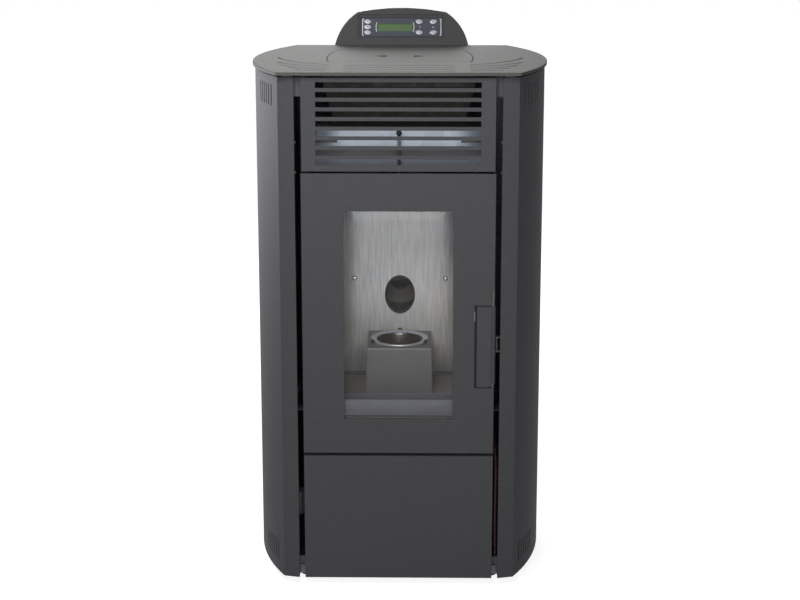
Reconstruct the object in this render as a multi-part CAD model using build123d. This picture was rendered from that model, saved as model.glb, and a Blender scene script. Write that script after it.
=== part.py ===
from build123d import *
import os
from math import atan2, cos, degrees, radians, sin, tan

# Pellet stove, in millimetres, +Z up. The pieces are drawn in the casing's own frame: X to the right,
# Y back from the plane of the fire door, Z up from the casing's lower edge. The last section moves
# them to the stove's frame, whose origin is on the floor, under the middle of the whole stove.

# ---- Driving dimensions -------------------------------------------------------------------------

# casing
casing_height = 915.0          # side panels, from lower to upper edge
casing_depth = 452.0           # plane of the fire door to the back of the casing
casing_sheet = 1.5
strip_inner_x = 180.3          # front strip of a side panel: its folded inner edge
strip_outer_x = 208.6          # the corner where the rolled side begins
strip_setback = 7.2            # the strip slopes back by this much
strip_return = 18.0            # depth of the fold behind the strip's inner edge
bulge_x = 265.0                # half width of the casing at the middle of its rolled sides
bulge_y = 223.0
rear_corner_x = 206.0
rear_flange = 22.0
floor_gap = 14.0               # the levelling feet lift the casing by this much

# vent slots in the rolled sides
vent_count = 6
vent_width = 5.0
vent_height = 38.0
vent_pitch = 13.0
vent_first = 27.0              # along the rolled side, from the front corner
vent_low_z = 21.5
vent_high_z = 862.0

# top plate
plate_gap = 4.5                # dark gap between the panels and the top plate
plate_rim = 5.5                # the plate's folded rim
plate_sheet = 2.0
plate_overhang = 3.5           # past the side panels
plate_front = 12.8             # past the plane of the fire door
plate_back = 7.0               # past the rear panel
plate_corner = 5.0
plate_front_past = 0.9         # past the front corner of the rolled sides
plate_rear_past = 0.6          # past their rear corner
plate_rim_inset = 6.0          # width of the rim, measured along the front
lid_margin = 4.0               # solid margin round the lid's opening
lid_margin_rear = 6.0
slot_width = 4.0
front_slot_half = 98.0
front_slots_y = (8.0, 36.0, 67.0, 99.0)
# curved slots of the left side: (x, y) of the inner end, the middle and the outer end
side_slots = (
    ((126.0, 109.0), (180.0, 146.0), (224.0, 222.0)),
    ((126.0, 84.0), (176.0, 103.0), (219.0, 149.0)),
    ((126.0, 56.0), (172.0, 70.0), (209.0, 103.0)),
    ((126.0, 32.0), (162.0, 42.0), (194.0, 62.0)),
    ((126.0, 12.0), (154.0, 17.0), (179.0, 26.0)),
)

# hopper lid
lid_front_y = 156.0
lid_axis_y = 358.0             # axis of the lid's rolled rear edge
lid_front_half = 128.0
lid_middle_half = 133.0
lid_rear_half = 119.0
lid_gap = 1.4
lid_barrel = 2.6               # radius of the rolled edge
lid_pin_radius = 1.2
lid_pin_reach = 5.0
lid_corner = 7.0
finger_hole_inner_x = 25.0
finger_hole_outer_x = 47.0
finger_hole_y = 252.0
finger_hole_half = 11.0
finger_hole_bulge = 2.0        # the two arcs' middles, outwards
finger_hole_share = 0.62       # and their height there, as a share of the half height

# front panels
panel_half = 169.5
panel_return = 15.0
grille_half = 168.0
grille_bottom = 752.0
grille_slots = 9
grille_slot_half = 143.0
grille_slot_height = 10.0
grille_slot_pitch = 16.75
grille_first_slot = 907.0      # upper edge of the first slot
door_bottom = 239.0
door_top = 748.0
door_half = 169.8
door_sheet = 3.0
lower_panel_top = 233.4

# louvres in the rear panel
louvre_columns = (-88.0, 0.0, 88.0)
louvre_rows = 8
louvre_first_z = 560.0
louvre_pitch = 22.0
louvre_length = 76.0
louvre_height = 5.0
rear_opening_room = 1.0        # round the pipes that pass through the rear panel
rear_panel_inset = 8.0

# window
window_half = 96.5
window_bottom = 303.0
window_top = 681.5
glass_overlap = 14.0
glass_thickness = 4.0
clip_height = 18.0
clip_inset = 24.0              # from the window's upper and lower edges
clip_lap = 8.0                 # over the edge of the pane
clip_sheet = 1.5
clip_screw = 3.2

# inner frame, rope seal and firebox mouth
mouth_half = 133.0
mouth_bottom = 290.0
mouth_top = 712.0
frame_inside = 2.0             # inner edge of the door's frame, out from the mouth
frame_width = 14.0
frame_depth = 16.0
rope_width = 10.0
rope_groove = 6.0
rope_gap = 0.3
flange_y = 26.0                # plane of the firebox's front flange
flange_half = 164.0
flange_margin = 34.0
firebox_sheet = 3.0

# fire door hinges
hinge_x = -165.0
hinge_y = 9.0
hinge_knuckle = 5.5
hinge_pin = 3.0
hinge_fit = 0.05               # running clearance on a radius
hinge_heights = (300.0, 690.0)
knuckle_length = 16.0
knuckle_gap = 0.4

# door handle
handle_left = 139.0
handle_right = 164.3
handle_bottom = 363.0
handle_top = 511.0
handle_sheet = 2.0
handle_gap = 4.5               # beside the handle, in the door's cut-out
handle_gap_ends = 2.0
notch_rise = 30.0              # the notch in the door's edge, above the handle
notch_depth = 5.4
shaft_x = 166.9
shaft_y = 8.0
shaft_radius = 4.0
barrel_wall = 1.4
bearing_length = 10.0
tongue_z = 437.0
tongue_height = 12.0
tongue_reach = 15.0
keeper_x = 174.8
keeper_radius = 2.2

# firebox
chamber_half = 140.0
chamber_top = 722.0
flange_top = 744.0
chamber_floor = 298.0
back_plate_y = 212.5
back_plate_sheet = 2.0
burner_floor = 321.5           # raised floor that carries the burner box
ash_pan_front = 30.0
ash_pan_back = 96.0
ash_pan_lip = 330.0
ash_pan_sheet = 1.5
ash_pan_side_gap = 10.0
chute_bore = 28.5              # radius
chute_wall = 1.5
chute_z = 480.5                # centre of the oval hole in the back plate
chute_slope = 39.6             # degrees down to the front
plate_screw_x = 85.5
plate_screw_z = 504.0
screw_head = 5.0
screw_head_height = 3.2
screw_socket = 1.8

# burner
box_top = 409.0
box_front = 97.0
box_back = 210.5
box_half_top = 58.5
box_half_bottom = 61.5
box_sheet = 2.0
pot_rim = 54.0
pot_rim_height = 3.0
pot_mouth = 42.0
pot_base = 35.0
pot_depth = 62.0
pot_wall = 2.5
pot_clearance = 1.0
lug_width = 8.5
lug_height = 6.0
lug_depth = 3.0
lug_gap = 0.4
lug_angles = (90, 210, 330)
pot_base_holes = ((0, 1), (12, 6), (24, 12))    # circle radius and number of holes
pot_base_hole = 2.0
pot_side_holes = 12
pot_side_hole = 2.5
pot_side_hole_z = 22.0         # above the underside of the cup
igniter_radius = 5.0
igniter_z = 352.0
igniter_room = 1.5
igniter_collar = 5.0
igniter_collar_length = 8.0
igniter_tail = 28.0
igniter_tip_gap = 8.0

# heat exchanger and hood behind the grille
tube_count = 6
tube_pitch = 38.0
tube_radius = 12.0
tube_wall = 1.5
tube_z = 761.0
tube_front = 112.0
tube_back = 188.0
hood_half = 135.0
hood_front = 100.0
hood_back = 178.0
deck_back = 192.0
hood_bottom = 775.0
hood_top = 811.0
scraper_y = 86.0
scraper_radius = 2.5
scraper_knob = 5.0
scraper_knob_z = 806.0
scraper_reach = 52.0           # below the firebox's top
scraper_plate = (70.0, 12.0, 3.0)               # half width, half depth, thickness

# hopper and feed
hopper_front = 152.0
hopper_back = 384.0
hopper_half = 137.0
hopper_sheet = 1.2
hopper_taper_top = 880.0
hopper_outlet_z = 470.0
throat_front = 334.0
throat_back = 384.0
throat_half = 26.0
auger_slope = 60.0             # degrees up to the front
auger_tube_bore = 29.5
auger_tube_wall = 1.5
auger_foot_y = 360.0
auger_foot_z = 359.5
auger_length = 217.0
auger_shaft = 8.0
auger_flight = 28.0
auger_pitch = 42.0
auger_bearing = 6.0            # end plates of the auger tube
gearbox_size = 58.0
gearbox_length = 52.0
motor_radius = 26.0
motor_length = 40.0

# smoke fan, on the right
smoke_x = (60.0, 130.0)
smoke_axis_y = 270.0
smoke_axis_z = 190.0
smoke_radius = 75.0
fan_sheet = 2.0
smoke_wheel_radius = 62.0
smoke_wheel_width = 36.0
smoke_blades = 10
smoke_wheel_inset = 14.0
smoke_shaft_share = 0.6        # of the motor's length
wheel_ring_share = 0.72        # a fan wheel's front ring and blades, as shares of its radius
wheel_blade_share = 0.7
wheel_sheet = 2.0
wheel_blade_sheet = 1.5
spigot_radius = 40.0
spigot_wall = 1.2
spigot_reach = 60.0            # past the back of the casing
spigot_z = 155.0
smoke_outlet_bore = 31.0
smoke_outlet_rise = 5.0        # upper side of the outlet, above the axis
smoke_outlet_gap = 14.0        # from the outlet's flange to the rear panel
smoke_inlet_bore = 34.0
smoke_duct_x = (20.0, 60.0)
smoke_duct_y = (130.0, 300.0)
smoke_duct_floor = 150.0
smoke_motor_radius = 38.0
smoke_motor_length = 52.0
smoke_fins = 5
smoke_fin_start = 12.0
smoke_fin_pitch = 7.0
smoke_fin_gap = 3.0
smoke_fin_depth = 4.0

# room fan, on the left
room_x = (-150.0, -50.0)
room_axis_y = 235.0
room_axis_z = 120.0
room_radius = 78.0
room_wheel_radius = 60.0
room_wheel_width = 78.0
room_blades = 24
room_outlet_rise = 30.0        # above the housing
room_inlet_share = 0.66        # of the wheel's radius
room_foot_half = 30.0
fan_shaft = 4.0                # radius, of both fans' shafts
room_motor_radius = 34.0
room_motor_length = 36.0
capacitor_x = -187.0
capacitor_y = 78.0
capacitor_radius = 15.0
capacitor_z = (96.0, 140.0)

# wiring
loom_radius = 3.0
loom_run = 29.0                # last stretch, to the side of the firebox
loom_end_z = 318.0
loom_bend_share = 0.45         # of the last stretch

# combustion air
air_pipe_x = -75.0
air_pipe_z = 312.0
air_pipe_radius = 25.0
air_pipe_wall = 1.2
air_pipe_reach = 32.0

# console
console_lean = 30.0            # degrees back from upright
console_half = 131.5
console_corner_half = 87.0
console_corner_rise = 61.5     # corners and top, above the top plate
console_rise = 69.5
console_skirt = 45.0           # below the top plate's upper face
console_wall = 2.5
console_skirt_depth = 22.0
console_crown = 8.0            # thickness at the upper edge
console_bow = (8.0, 2.0)       # the curved sides' middles, out and up from the chord
console_depth_room = 200.0
keypad_centre = 39.0           # up the sloping face
recess_width = 176.0
recess_height = 54.0
recess_depth = 1.5
keypad_width = 166.0
keypad_height = 44.0
keypad_sheet = 2.5
display_x = -13.4
display_width = 69.0
display_height = 17.0
key_places = (
    (-67.5, 11.6), (-67.5, 0.0), (-67.5, -11.6),
    (34.4, 11.6), (34.4, -11.6), (62.3, 11.6), (62.3, -11.6),
)
key_length = 14.0
key_height = 8.6
key_thickness = 2.2
key_proud = 0.7
key_gap = 0.25
key_travel = 0.5
board_sheet = 1.6
board_gap = 2.5
key_rest_gap = 0.15            # above a key's dome when the key is fully down

# feet, posts and base
foot_radius = 20.0
foot_disc = 8.0
foot_stud = 4.0
foot_fit = 0.06
foot_stud_top = 18.0
foot_inset_x = 45.0
foot_front_y = 60.0
foot_rear_y = 400.0
tray_front = 20.0
tray_height = 17.0
tray_sheet = 2.0
tray_gap = 0.3
post_leg = 18.0
post_sheet = 2.0
post_gap = 2.0
bracket_high = (881.0, 914.0)
bracket_low = (22.0, 37.0)
bracket_y = 12.0
bracket_screws = (748.0, 801.0)
rail_z = (300.0, 330.0)        # side rails that carry the firebox
rail_brackets_y = ((60.0, 90.0), (180.0, 210.0))

# electrics on the rear panel
inlet_x = -150.0
inlet_z = 70.0
inlet_size = (28.0, 48.0)
inlet_depth = 30.0
inlet_rim = 2.0
inlet_fit = 0.2
socket_half = (11.0, 8.0)
socket_depth = 16.0
socket_pins = ((-7.0, -2.0), (0.0, 3.0), (7.0, -2.0))
switch_fit = 0.6
switch_size = (12.0, 20.0)

# ---- Values worked out from them ----------------------------------------------------------------

plate_bottom = casing_height + plate_gap
plate_top = plate_bottom + plate_rim
casing_back = casing_depth - casing_sheet
lid_axis_z = plate_top - lid_barrel
frame_back = door_sheet + frame_depth
rope_back = flange_y - rope_gap
shell_back = back_plate_y + back_plate_sheet + firebox_sheet
pot_y = (box_front + box_back) / 2
ash_pan_half = chamber_half - ash_pan_side_gap
notch_top = handle_top + notch_rise
auger_dir = Vector(0, -cos(radians(auger_slope)), sin(radians(auger_slope)))
auger_foot = Vector(0, auger_foot_y, auger_foot_z)
chute_dir = Vector(0, cos(radians(chute_slope)), sin(radians(chute_slope)))
console_foot_y = casing_depth + plate_back + 0.5
console_corner_z = plate_top + console_corner_rise
console_top_z = plate_top + console_rise
smoke_outlet_y = casing_back - casing_sheet - smoke_outlet_gap
smoke_middle = (smoke_x[0] + smoke_x[1]) / 2
console_face = Plane(
    origin=(0, console_foot_y, plate_top),
    x_dir=(1, 0, 0),
    z_dir=(0, -cos(radians(console_lean)), sin(radians(console_lean))),
)
keypad_face = console_face.offset(-recess_depth)
keypad_plane = Plane(
    origin=keypad_face.origin + keypad_face.y_dir * keypad_centre,
    x_dir=keypad_face.x_dir,
    z_dir=keypad_face.z_dir,
)

# ---- Shared shapes ------------------------------------------------------------------------------


def block(x, y, z):
    """A box from its ranges along X, Y and Z."""
    (x0, x1), (y0, y1), (z0, z1) = x, y, z
    return Pos((x0 + x1) / 2, (y0 + y1) / 2, (z0 + z1) / 2) * Box(x1 - x0, y1 - y0, z1 - z0)


def rod(start, end, radius):
    """A round bar from one point to another."""
    axis = Line(Vector(start), Vector(end))
    return extrude(Plane(axis @ 0, z_dir=axis % 0) * Circle(radius), axis.length)


def tube(start, end, radius, wall):
    """A round pipe from one point to another."""
    return rod(start, end, radius) - rod(start, end, radius - wall)


def both_sides(shape):
    """The shape and its mirror image across the stove's middle."""
    return Compound([shape, mirror(shape, about=Plane.YZ)])


def wall_ring(half, z, y, width):
    """A rectangular frame that stands upright: its opening is half wide to each side."""
    low, high = z
    outer = block((-half - width, half + width), y, (low - width, high + width))
    return outer - block((-half, half), y, (low, high))


def side_arc(x_shift, y_front, x_front, y_rear, x_rear):
    """The rolled side of the casing in plan, moved out by x_shift."""
    return ThreePointArc((x_front, y_front), (bulge_x + x_shift, bulge_y), (x_rear, y_rear))


def plan_face(x_shift, y_front, x_front, y_rear, x_rear):
    """A plan with two rolled sides, a straight front and a straight back."""
    right = side_arc(x_shift, y_front, x_front, y_rear, x_rear)
    left = mirror(right, about=Plane.YZ)
    back = Line((x_rear, y_rear), (-x_rear, y_rear))
    front = Line((x_front, y_front), (-x_front, y_front))
    return make_face(Curve() + [right, left, back, front])


# ---- Casing -------------------------------------------------------------------------------------


def side_panel():
    """Right side panel: rolled sheet, folded strip at the front, flange at the back, vents."""
    fold = Line((strip_inner_x, strip_return), (strip_inner_x, 0))
    strip = Line((strip_inner_x, 0), (strip_outer_x, strip_setback))
    rolled = side_arc(0, strip_setback, strip_outer_x, casing_depth, rear_corner_x)
    flange = Line((rear_corner_x, casing_depth), (rear_corner_x - rear_flange, casing_depth))
    path = Wire((Curve() + [fold, strip, rolled, flange]).edges())
    section = path.offset_2d(casing_sheet, kind=Kind.INTERSECTION, side=Side.LEFT)
    panel = extrude(Face(section), casing_height)
    for index in range(vent_count):
        place = (vent_first + index * vent_pitch) / rolled.length
        point = rolled @ place
        way = rolled % place
        turn = degrees(atan2(way.Y, way.X))
        for low in (vent_low_z, vent_high_z):
            slot = SlotCenterToCenter(vent_height - vent_width, vent_width)
            cutter = extrude(Plane.XZ * Rot(0, 0, 90) * slot, 5 * casing_sheet, both=True)
            panel -= Pos(point.X, point.Y, low + vent_height / 2) * Rot(0, 0, turn) * cutter
    return panel


def curved_slot(inner, middle, outer):
    """A slot of the top plate along an arc through three points, seen from above."""
    line = ThreePointArc(inner, middle, outer)
    outline = Wire([line]).offset_2d(slot_width / 2, side=Side.BOTH)
    return Face(outline)


def lid_axis_rod(reach, radius):
    """A round bar along the lid's hinge axis."""
    return rod((-reach, lid_axis_y, lid_axis_z), (reach, lid_axis_y, lid_axis_z), radius)


def lid_face(grow):
    """The lid's outline, grown all round by the gap to the top plate."""
    front_x = lid_front_half + grow
    front_y = lid_front_y - grow
    middle = (lid_middle_half + grow, (lid_front_y + lid_axis_y) / 2)
    rear_x = lid_rear_half + grow
    bow = ThreePointArc((front_x, front_y), middle, (rear_x, lid_axis_y))
    left = mirror(bow, about=Plane.YZ)
    front = Line((front_x, front_y), (-front_x, front_y))
    back = Line((rear_x, lid_axis_y), (-rear_x, lid_axis_y))
    return make_face(Curve() + [bow, left, front, back])


def top_plate():
    """Sheet with a folded rim, warm-air slots and the cut-out for the lid."""
    front_x = strip_outer_x + plate_front_past
    rear_x = rear_corner_x + plate_rear_past
    rear_y = casing_depth + plate_back
    outline = plan_face(plate_overhang, -plate_front, front_x, rear_y, rear_x)
    plate = Pos(0, 0, plate_bottom) * extrude(outline, plate_rim)
    corners = plate.edges().filter_by(Axis.Z).group_by(Axis.Y)[0]
    plate = fillet(corners, plate_corner)
    plate = fillet(plate.faces().sort_by(Axis.Z)[-1].edges(), 1.0)
    under = plan_face(
        plate_overhang - 2 * plate_sheet,
        plate_sheet - plate_front,
        front_x - plate_rim_inset,
        rear_y - plate_sheet,
        rear_corner_x - 2 * plate_sheet,
    )
    hollow = extrude(under, plate_rim - plate_sheet)
    rim_half = lid_middle_half + lid_gap + lid_margin
    island = block(
        (-rim_half, rim_half),
        (lid_front_y - lid_gap - lid_margin, lid_axis_y + lid_barrel + lid_gap + lid_margin_rear),
        (0, plate_rim - plate_sheet),
    )
    plate -= Pos(0, 0, plate_bottom) * (hollow - island)
    slots = Sketch()
    for y in front_slots_y:
        slots += Pos(0, y) * SlotOverall(2 * front_slot_half, slot_width)
    through = Pos(0, 0, plate_bottom) * extrude(slots, plate_rim)
    plate -= through
    for points in side_slots:
        cutter = Pos(0, 0, plate_bottom) * extrude(curved_slot(*points), plate_rim)
        plate -= cutter
        plate -= mirror(cutter, about=Plane.YZ)
    opening = extrude(lid_face(lid_gap), plate_rim)
    plate -= Pos(0, 0, plate_bottom) * opening
    barrel_room = lid_rear_half + lid_gap
    plate -= block(
        (-barrel_room, barrel_room),
        (lid_axis_y - lid_barrel, lid_axis_y + lid_barrel + lid_gap),
        (plate_bottom, plate_top),
    )
    return plate - lid_axis_rod(lid_rear_half + lid_pin_reach + 0.5, lid_pin_radius + hinge_fit)


def folded_panel(half, low, high):
    """A flat front panel whose four edges are folded back."""
    panel = block((-half, half), (0, panel_return), (low, high))
    inner_x = (-half + casing_sheet, half - casing_sheet)
    inner_z = (low + casing_sheet, high - casing_sheet)
    return panel - block(inner_x, (casing_sheet, panel_return), inner_z)


def grille_panel():
    """The panel above the fire door, with its row of long slots."""
    panel = folded_panel(grille_half, grille_bottom, casing_height - 0.5)
    for index in range(grille_slots):
        top = grille_first_slot - index * grille_slot_pitch
        slot_z = (top - grille_slot_height, top)
        panel -= block((-grille_slot_half, grille_slot_half), (0, casing_sheet), slot_z)
    return panel


def rear_panel():
    """Sheet inside the side panels' rear flanges, with its openings and louvres."""
    half = rear_corner_x - rear_panel_inset
    panel = block((-half, half), (casing_back - casing_sheet, casing_back), (0, casing_height))
    near = casing_back - 2 * casing_sheet
    far = casing_back + casing_sheet
    for x, z, radius in (
        (smoke_middle, spigot_z, spigot_radius),
        (air_pipe_x, air_pipe_z, air_pipe_radius),
    ):
        panel -= rod((x, near, z), (x, far, z), radius + rear_opening_room)
    wide, tall = inlet_size
    inlet_hole_x = (inlet_x - wide / 2, inlet_x + wide / 2)
    panel -= block(inlet_hole_x, (near, far), (inlet_z - tall / 2, inlet_z + tall / 2))
    slot = extrude(Plane.XZ * SlotOverall(louvre_length, louvre_height), 4 * casing_sheet, both=True)
    for column in louvre_columns:
        for row in range(louvre_rows):
            panel -= Pos(column, casing_back, louvre_first_z + row * louvre_pitch) * slot
    return panel


def base_tray():
    """Floor of the casing: a tray with a folded rim and four threaded bosses for the feet."""
    gap = casing_sheet + tray_gap
    back = casing_back - casing_sheet

    def inside(inset):
        by = gap + inset
        return plan_face(-by, strip_setback, strip_outer_x - by, casing_depth, rear_corner_x - by)

    far = 2 * bulge_x
    tray = extrude(inside(0), tray_height) & block((-far, far), (tray_front, back), (0, tray_height))
    room_y = (tray_front + tray_sheet, back - tray_sheet)
    tray -= extrude(inside(tray_sheet), tray_height) & block((-far, far), room_y, (tray_sheet, tray_height))
    for x, y in foot_places():
        tray += Pos(x, y, tray_height / 2) * Cylinder(2.4 * foot_stud, tray_height)
        tray -= Pos(x, y, 0) * Cylinder(foot_stud + foot_fit, 3 * tray_height)
    return tray


def foot_places():
    """Plan places of the four feet: front left, front right, rear left, rear right."""
    front_x = strip_outer_x - foot_inset_x
    rear_x = rear_corner_x - foot_inset_x
    front = ((-front_x, foot_front_y), (front_x, foot_front_y))
    return (*front, (-rear_x, foot_rear_y), (rear_x, foot_rear_y))


def foot(x, y):
    """A levelling foot: rubber-faced disc, hexagon and threaded stud."""
    disc = Pos(0, 0, -floor_gap + foot_disc / 2) * Cylinder(foot_radius, foot_disc)
    disc = fillet(disc.edges().filter_by(GeomType.CIRCLE), 1.2)
    hexagon = Pos(0, 0, -floor_gap + foot_disc) * extrude(RegularPolygon(7.5, 6), 3)
    stud = rod((0, 0, -floor_gap + foot_disc), (0, 0, foot_stud_top), foot_stud)
    return Pos(x, y, 0) * (disc + hexagon + stud)


def casing_posts():
    """Angle posts under the top plate, joined by side rails with brackets that hold the firebox."""
    x = strip_inner_x + casing_sheet + post_gap
    front = tray_front + tray_sheet
    back = casing_back - casing_sheet - tray_sheet
    z = (tray_sheet, plate_top - plate_sheet)
    post = block((x, x + post_leg), (front, front + post_sheet), z)
    post += block((x, x + post_sheet), (front, front + post_leg), z)
    post += block((x, x + post_leg), (back - post_sheet, back), z)
    post += block((x, x + post_sheet), (back - post_leg, back), z)
    post += block((x, x + post_sheet), (front, back), rail_z)
    for y in rail_brackets_y:
        post += block((chamber_half + firebox_sheet, x), y, (rail_z[0], rail_z[0] + post_sheet))
    return both_sides(post)


def front_brackets():
    """Grey angle brackets that join the front panels to the side panels, and screws in the folds."""
    pieces = []
    for low, high in (bracket_high, bracket_low):
        half = grille_half if low > door_top else panel_half
        tab = block((half, strip_inner_x), (bracket_y, bracket_y + casing_sheet), (low, high))
        leg = block((strip_inner_x - casing_sheet, strip_inner_x), (strip_setback, bracket_y), (low, high))
        pieces.append(both_sides(tab + leg))
    for z in bracket_screws:
        head = rod((strip_inner_x, bracket_y, z), (strip_inner_x - 2.2, bracket_y, z), 2.8)
        pieces.append(both_sides(fillet(head.edges().group_by(Axis.X)[0], 0.9)))
    return Compound(pieces)


# ---- Console ------------------------------------------------------------------------------------


def console_outline(inset):
    """The console seen from the front: curved sides and a slightly arched top."""
    low = plate_top - console_skirt
    foot = (console_half - inset, plate_top)
    corner = (console_corner_half - inset, console_corner_z - inset)
    bow = ((foot[0] + corner[0]) / 2 + console_bow[0], (foot[1] + corner[1]) / 2 + console_bow[1])
    side = ThreePointArc(foot, bow, corner)
    skirt = Line((foot[0], low), foot)
    arch = ThreePointArc(corner, (0, console_top_z - inset), (-corner[0], corner[1]))
    left = [mirror(edge, about=Plane.YZ) for edge in (side, skirt)]
    base = Line((-foot[0], low), (foot[0], low))
    return make_face(Curve() + [side, skirt, arch, base] + left)


def console_profile(inset):
    """The console seen from the side: a sloping face over a skirt behind the casing."""
    low = plate_top - console_skirt + inset
    lean = tan(radians(console_lean))
    high = console_top_z + 1
    foot_y = console_foot_y + inset * 1.15
    back = casing_depth + console_skirt_depth - inset
    points = [
        (casing_back + inset, low),
        (casing_back + inset, plate_bottom - 1),
        (foot_y, plate_bottom - 1),
        (foot_y, plate_top),
        (foot_y + (high - plate_top) * lean, high),
        (foot_y + (high - plate_top) * lean + console_crown - inset, high),
        (back, low),
    ]
    return make_face(Polyline(*points, close=True))


def console_body(inset):
    """A solid of the console's outer form, drawn in by inset."""
    front = extrude(Plane.XZ * console_outline(inset), -console_depth_room - casing_depth)
    return front & extrude(Plane.YZ * console_profile(inset), console_depth_room, both=True)


def console_housing():
    """Moulded shell with the keypad's recess in its face."""
    shell = console_body(0) - console_body(console_wall)
    recess = RectangleRounded(recess_width, recess_height, 6)
    window = RectangleRounded(keypad_width, keypad_height, 3)
    middle = Plane(
        origin=console_face.origin + console_face.y_dir * keypad_centre,
        x_dir=console_face.x_dir,
        z_dir=console_face.z_dir,
    )
    shell -= extrude(middle * recess, -recess_depth)
    shell -= extrude(middle * window, -3 * console_wall)
    return shell


def leaf(grow):
    """A key's outline: rounded at one end, pointed at the other, grown by a gap."""
    length = key_length + 2 * grow
    height = key_height + 2 * grow
    tip = (length / 2, height * 0.22)
    low = ThreePointArc((-length / 2, 0), (0, -height / 2), tip)
    high = ThreePointArc(tip, (-length * 0.1, height / 2), (-length / 2, 0))
    return make_face(Curve() + [low, high])


def keypad_plate():
    """Plate in the recess with an opening for the display and for each key."""
    outline = RectangleRounded(keypad_width - 0.6, keypad_height - 0.6, 3)
    plate = extrude(keypad_plane * outline, -keypad_sheet)
    window = keypad_plane * Pos(display_x, 0) * Rectangle(display_width, display_height)
    plate -= extrude(window, -2 * keypad_sheet)
    for place in key_places:
        plate -= extrude(key_sketch(place, key_gap), -2 * keypad_sheet)
    return plate


def key_sketch(place, grow):
    """A key's outline in its place on the keypad: only the last column points to the right."""
    x, y = place
    outline = leaf(grow)
    if x < key_places[-1][0]:
        outline = mirror(outline, about=Plane.YZ)
    return keypad_plane * Pos(x, y) * outline


def key(place):
    """One key cap, proud of the plate by key_proud."""
    return Pos(*(keypad_plane.z_dir * key_proud)) * extrude(key_sketch(place, 0), -key_thickness)


def display_window():
    """The display's clear cover, flush with the keypad plate."""
    pane = keypad_plane * Pos(display_x, 0) * Rectangle(display_width, display_height)
    return extrude(pane, -keypad_sheet)


def control_board():
    """Board behind the keypad plate, on four spacers, with the display module and key domes."""
    back = keypad_plane.offset(-keypad_sheet - board_gap)
    board = extrude(back * Rectangle(keypad_width - 12, keypad_height - 6), -board_sheet)
    for x in (-1, 1):
        for y in (-1, 1):
            spot = Pos(x * (keypad_width / 2 - 11), y * (keypad_height / 2 - 7))
            board += extrude(back * spot * Circle(2.5), board_gap)
    dome = board_gap + keypad_sheet - key_thickness + key_proud - key_travel - key_rest_gap
    for x, y in key_places:
        board += extrude(back * Pos(x, y) * Circle(2.0), dome)
    module = extrude(back * Pos(display_x, 0) * Rectangle(display_width + 4, display_height + 8), -5)
    return board + module


# ---- Hopper lid ---------------------------------------------------------------------------------


def hopper_lid():
    """Lid with a rolled rear edge that turns on two pins, and two finger holes."""
    thick = plate_rim - 0.3
    lid = Pos(0, 0, plate_top - thick) * extrude(lid_face(0), thick)
    fronts = lid.edges().filter_by(Axis.Z).group_by(Axis.Y)[0]
    lid = fillet(fronts, lid_corner)
    under = lid_face(-plate_sheet)
    lid -= Pos(0, 0, plate_top - thick) * extrude(under, thick - plate_sheet)
    lid += lid_axis_rod(lid_rear_half, lid_barrel)
    lid -= lid_axis_rod(lid_rear_half + lid_pin_reach, lid_pin_radius)
    tail = (finger_hole_outer_x, finger_hole_y)
    upper = (finger_hole_inner_x, finger_hole_y + finger_hole_half)
    lower = (finger_hole_inner_x, finger_hole_y - finger_hole_half)
    bulge = (finger_hole_inner_x + finger_hole_outer_x) / 2 + finger_hole_bulge
    rise = finger_hole_half * finger_hole_share
    outline = Curve() + [
        Line(lower, upper),
        ThreePointArc(upper, (bulge, finger_hole_y + rise), tail),
        ThreePointArc(tail, (bulge, finger_hole_y - rise), lower),
    ]
    cutter = Pos(0, 0, plate_bottom) * extrude(make_face(outline), plate_rim)
    lid -= cutter
    lid -= mirror(cutter, about=Plane.YZ)
    return lid


def lid_pins():
    """The rod in the lid's rolled edge, whose ends turn in the top plate's rim."""
    return lid_axis_rod(lid_rear_half + lid_pin_reach, lid_pin_radius)


# ---- Fire door ----------------------------------------------------------------------------------


def knuckle_heights(upper):
    """Lower and upper end of each hinge's upper knuckle, or of its lower one."""
    if upper:
        return [(z + knuckle_gap / 2, z + knuckle_gap / 2 + knuckle_length) for z in hinge_heights]
    return [(z - knuckle_gap / 2 - knuckle_length, z - knuckle_gap / 2) for z in hinge_heights]


def hinge_rod(z, radius):
    """A round bar along the fire door's hinge axis."""
    return rod((hinge_x, hinge_y, z[0]), (hinge_x, hinge_y, z[1]), radius)


def shaft_rod(z, radius):
    """A round bar along the axis of the handle's shaft."""
    return rod((shaft_x, shaft_y, z[0]), (shaft_x, shaft_y, z[1]), radius)


def door_panel():
    """Door plate with its window, the handle's cut-out, hinge knuckles and shaft bearings."""
    panel = block((-door_half, door_half), (0, door_sheet), (door_bottom, door_top))
    panel = fillet(panel.faces().sort_by(Axis.Y)[0].edges(), 0.8)
    panel -= block((-window_half, window_half), (-1, door_sheet + 1), (window_bottom, window_top))
    cut_left = handle_left - handle_gap
    panel -= block(
        (cut_left, door_half + 1),
        (-1, door_sheet + 1),
        (handle_bottom - handle_gap_ends, handle_top + handle_gap_ends),
    )
    notch_x = (door_half - notch_depth, door_half + 1)
    panel -= block(notch_x, (-1, door_sheet + 1), (handle_top, notch_top))
    for low, high in knuckle_heights(True):
        panel += hinge_rod((low, high), hinge_knuckle)
        web_x = (hinge_x - hinge_knuckle + 1, hinge_x + hinge_knuckle)
        panel += block(web_x, (door_sheet, hinge_y), (low, high))
        panel -= hinge_rod((low - 1, high + 1), hinge_pin + hinge_fit)
    for low in bearing_heights():
        bearing_x = (shaft_x - shaft_radius - 3, door_half)
        high = low + bearing_length
        panel += block(bearing_x, (door_sheet, shaft_y + shaft_radius + 2), (low, high))
        panel -= shaft_rod((low - 1, high + 1), shaft_radius + hinge_fit)
    return panel


def bearing_heights():
    """Lower edges of the two bearings of the handle's shaft."""
    return (handle_bottom - handle_gap_ends - bearing_length, notch_top)


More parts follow.
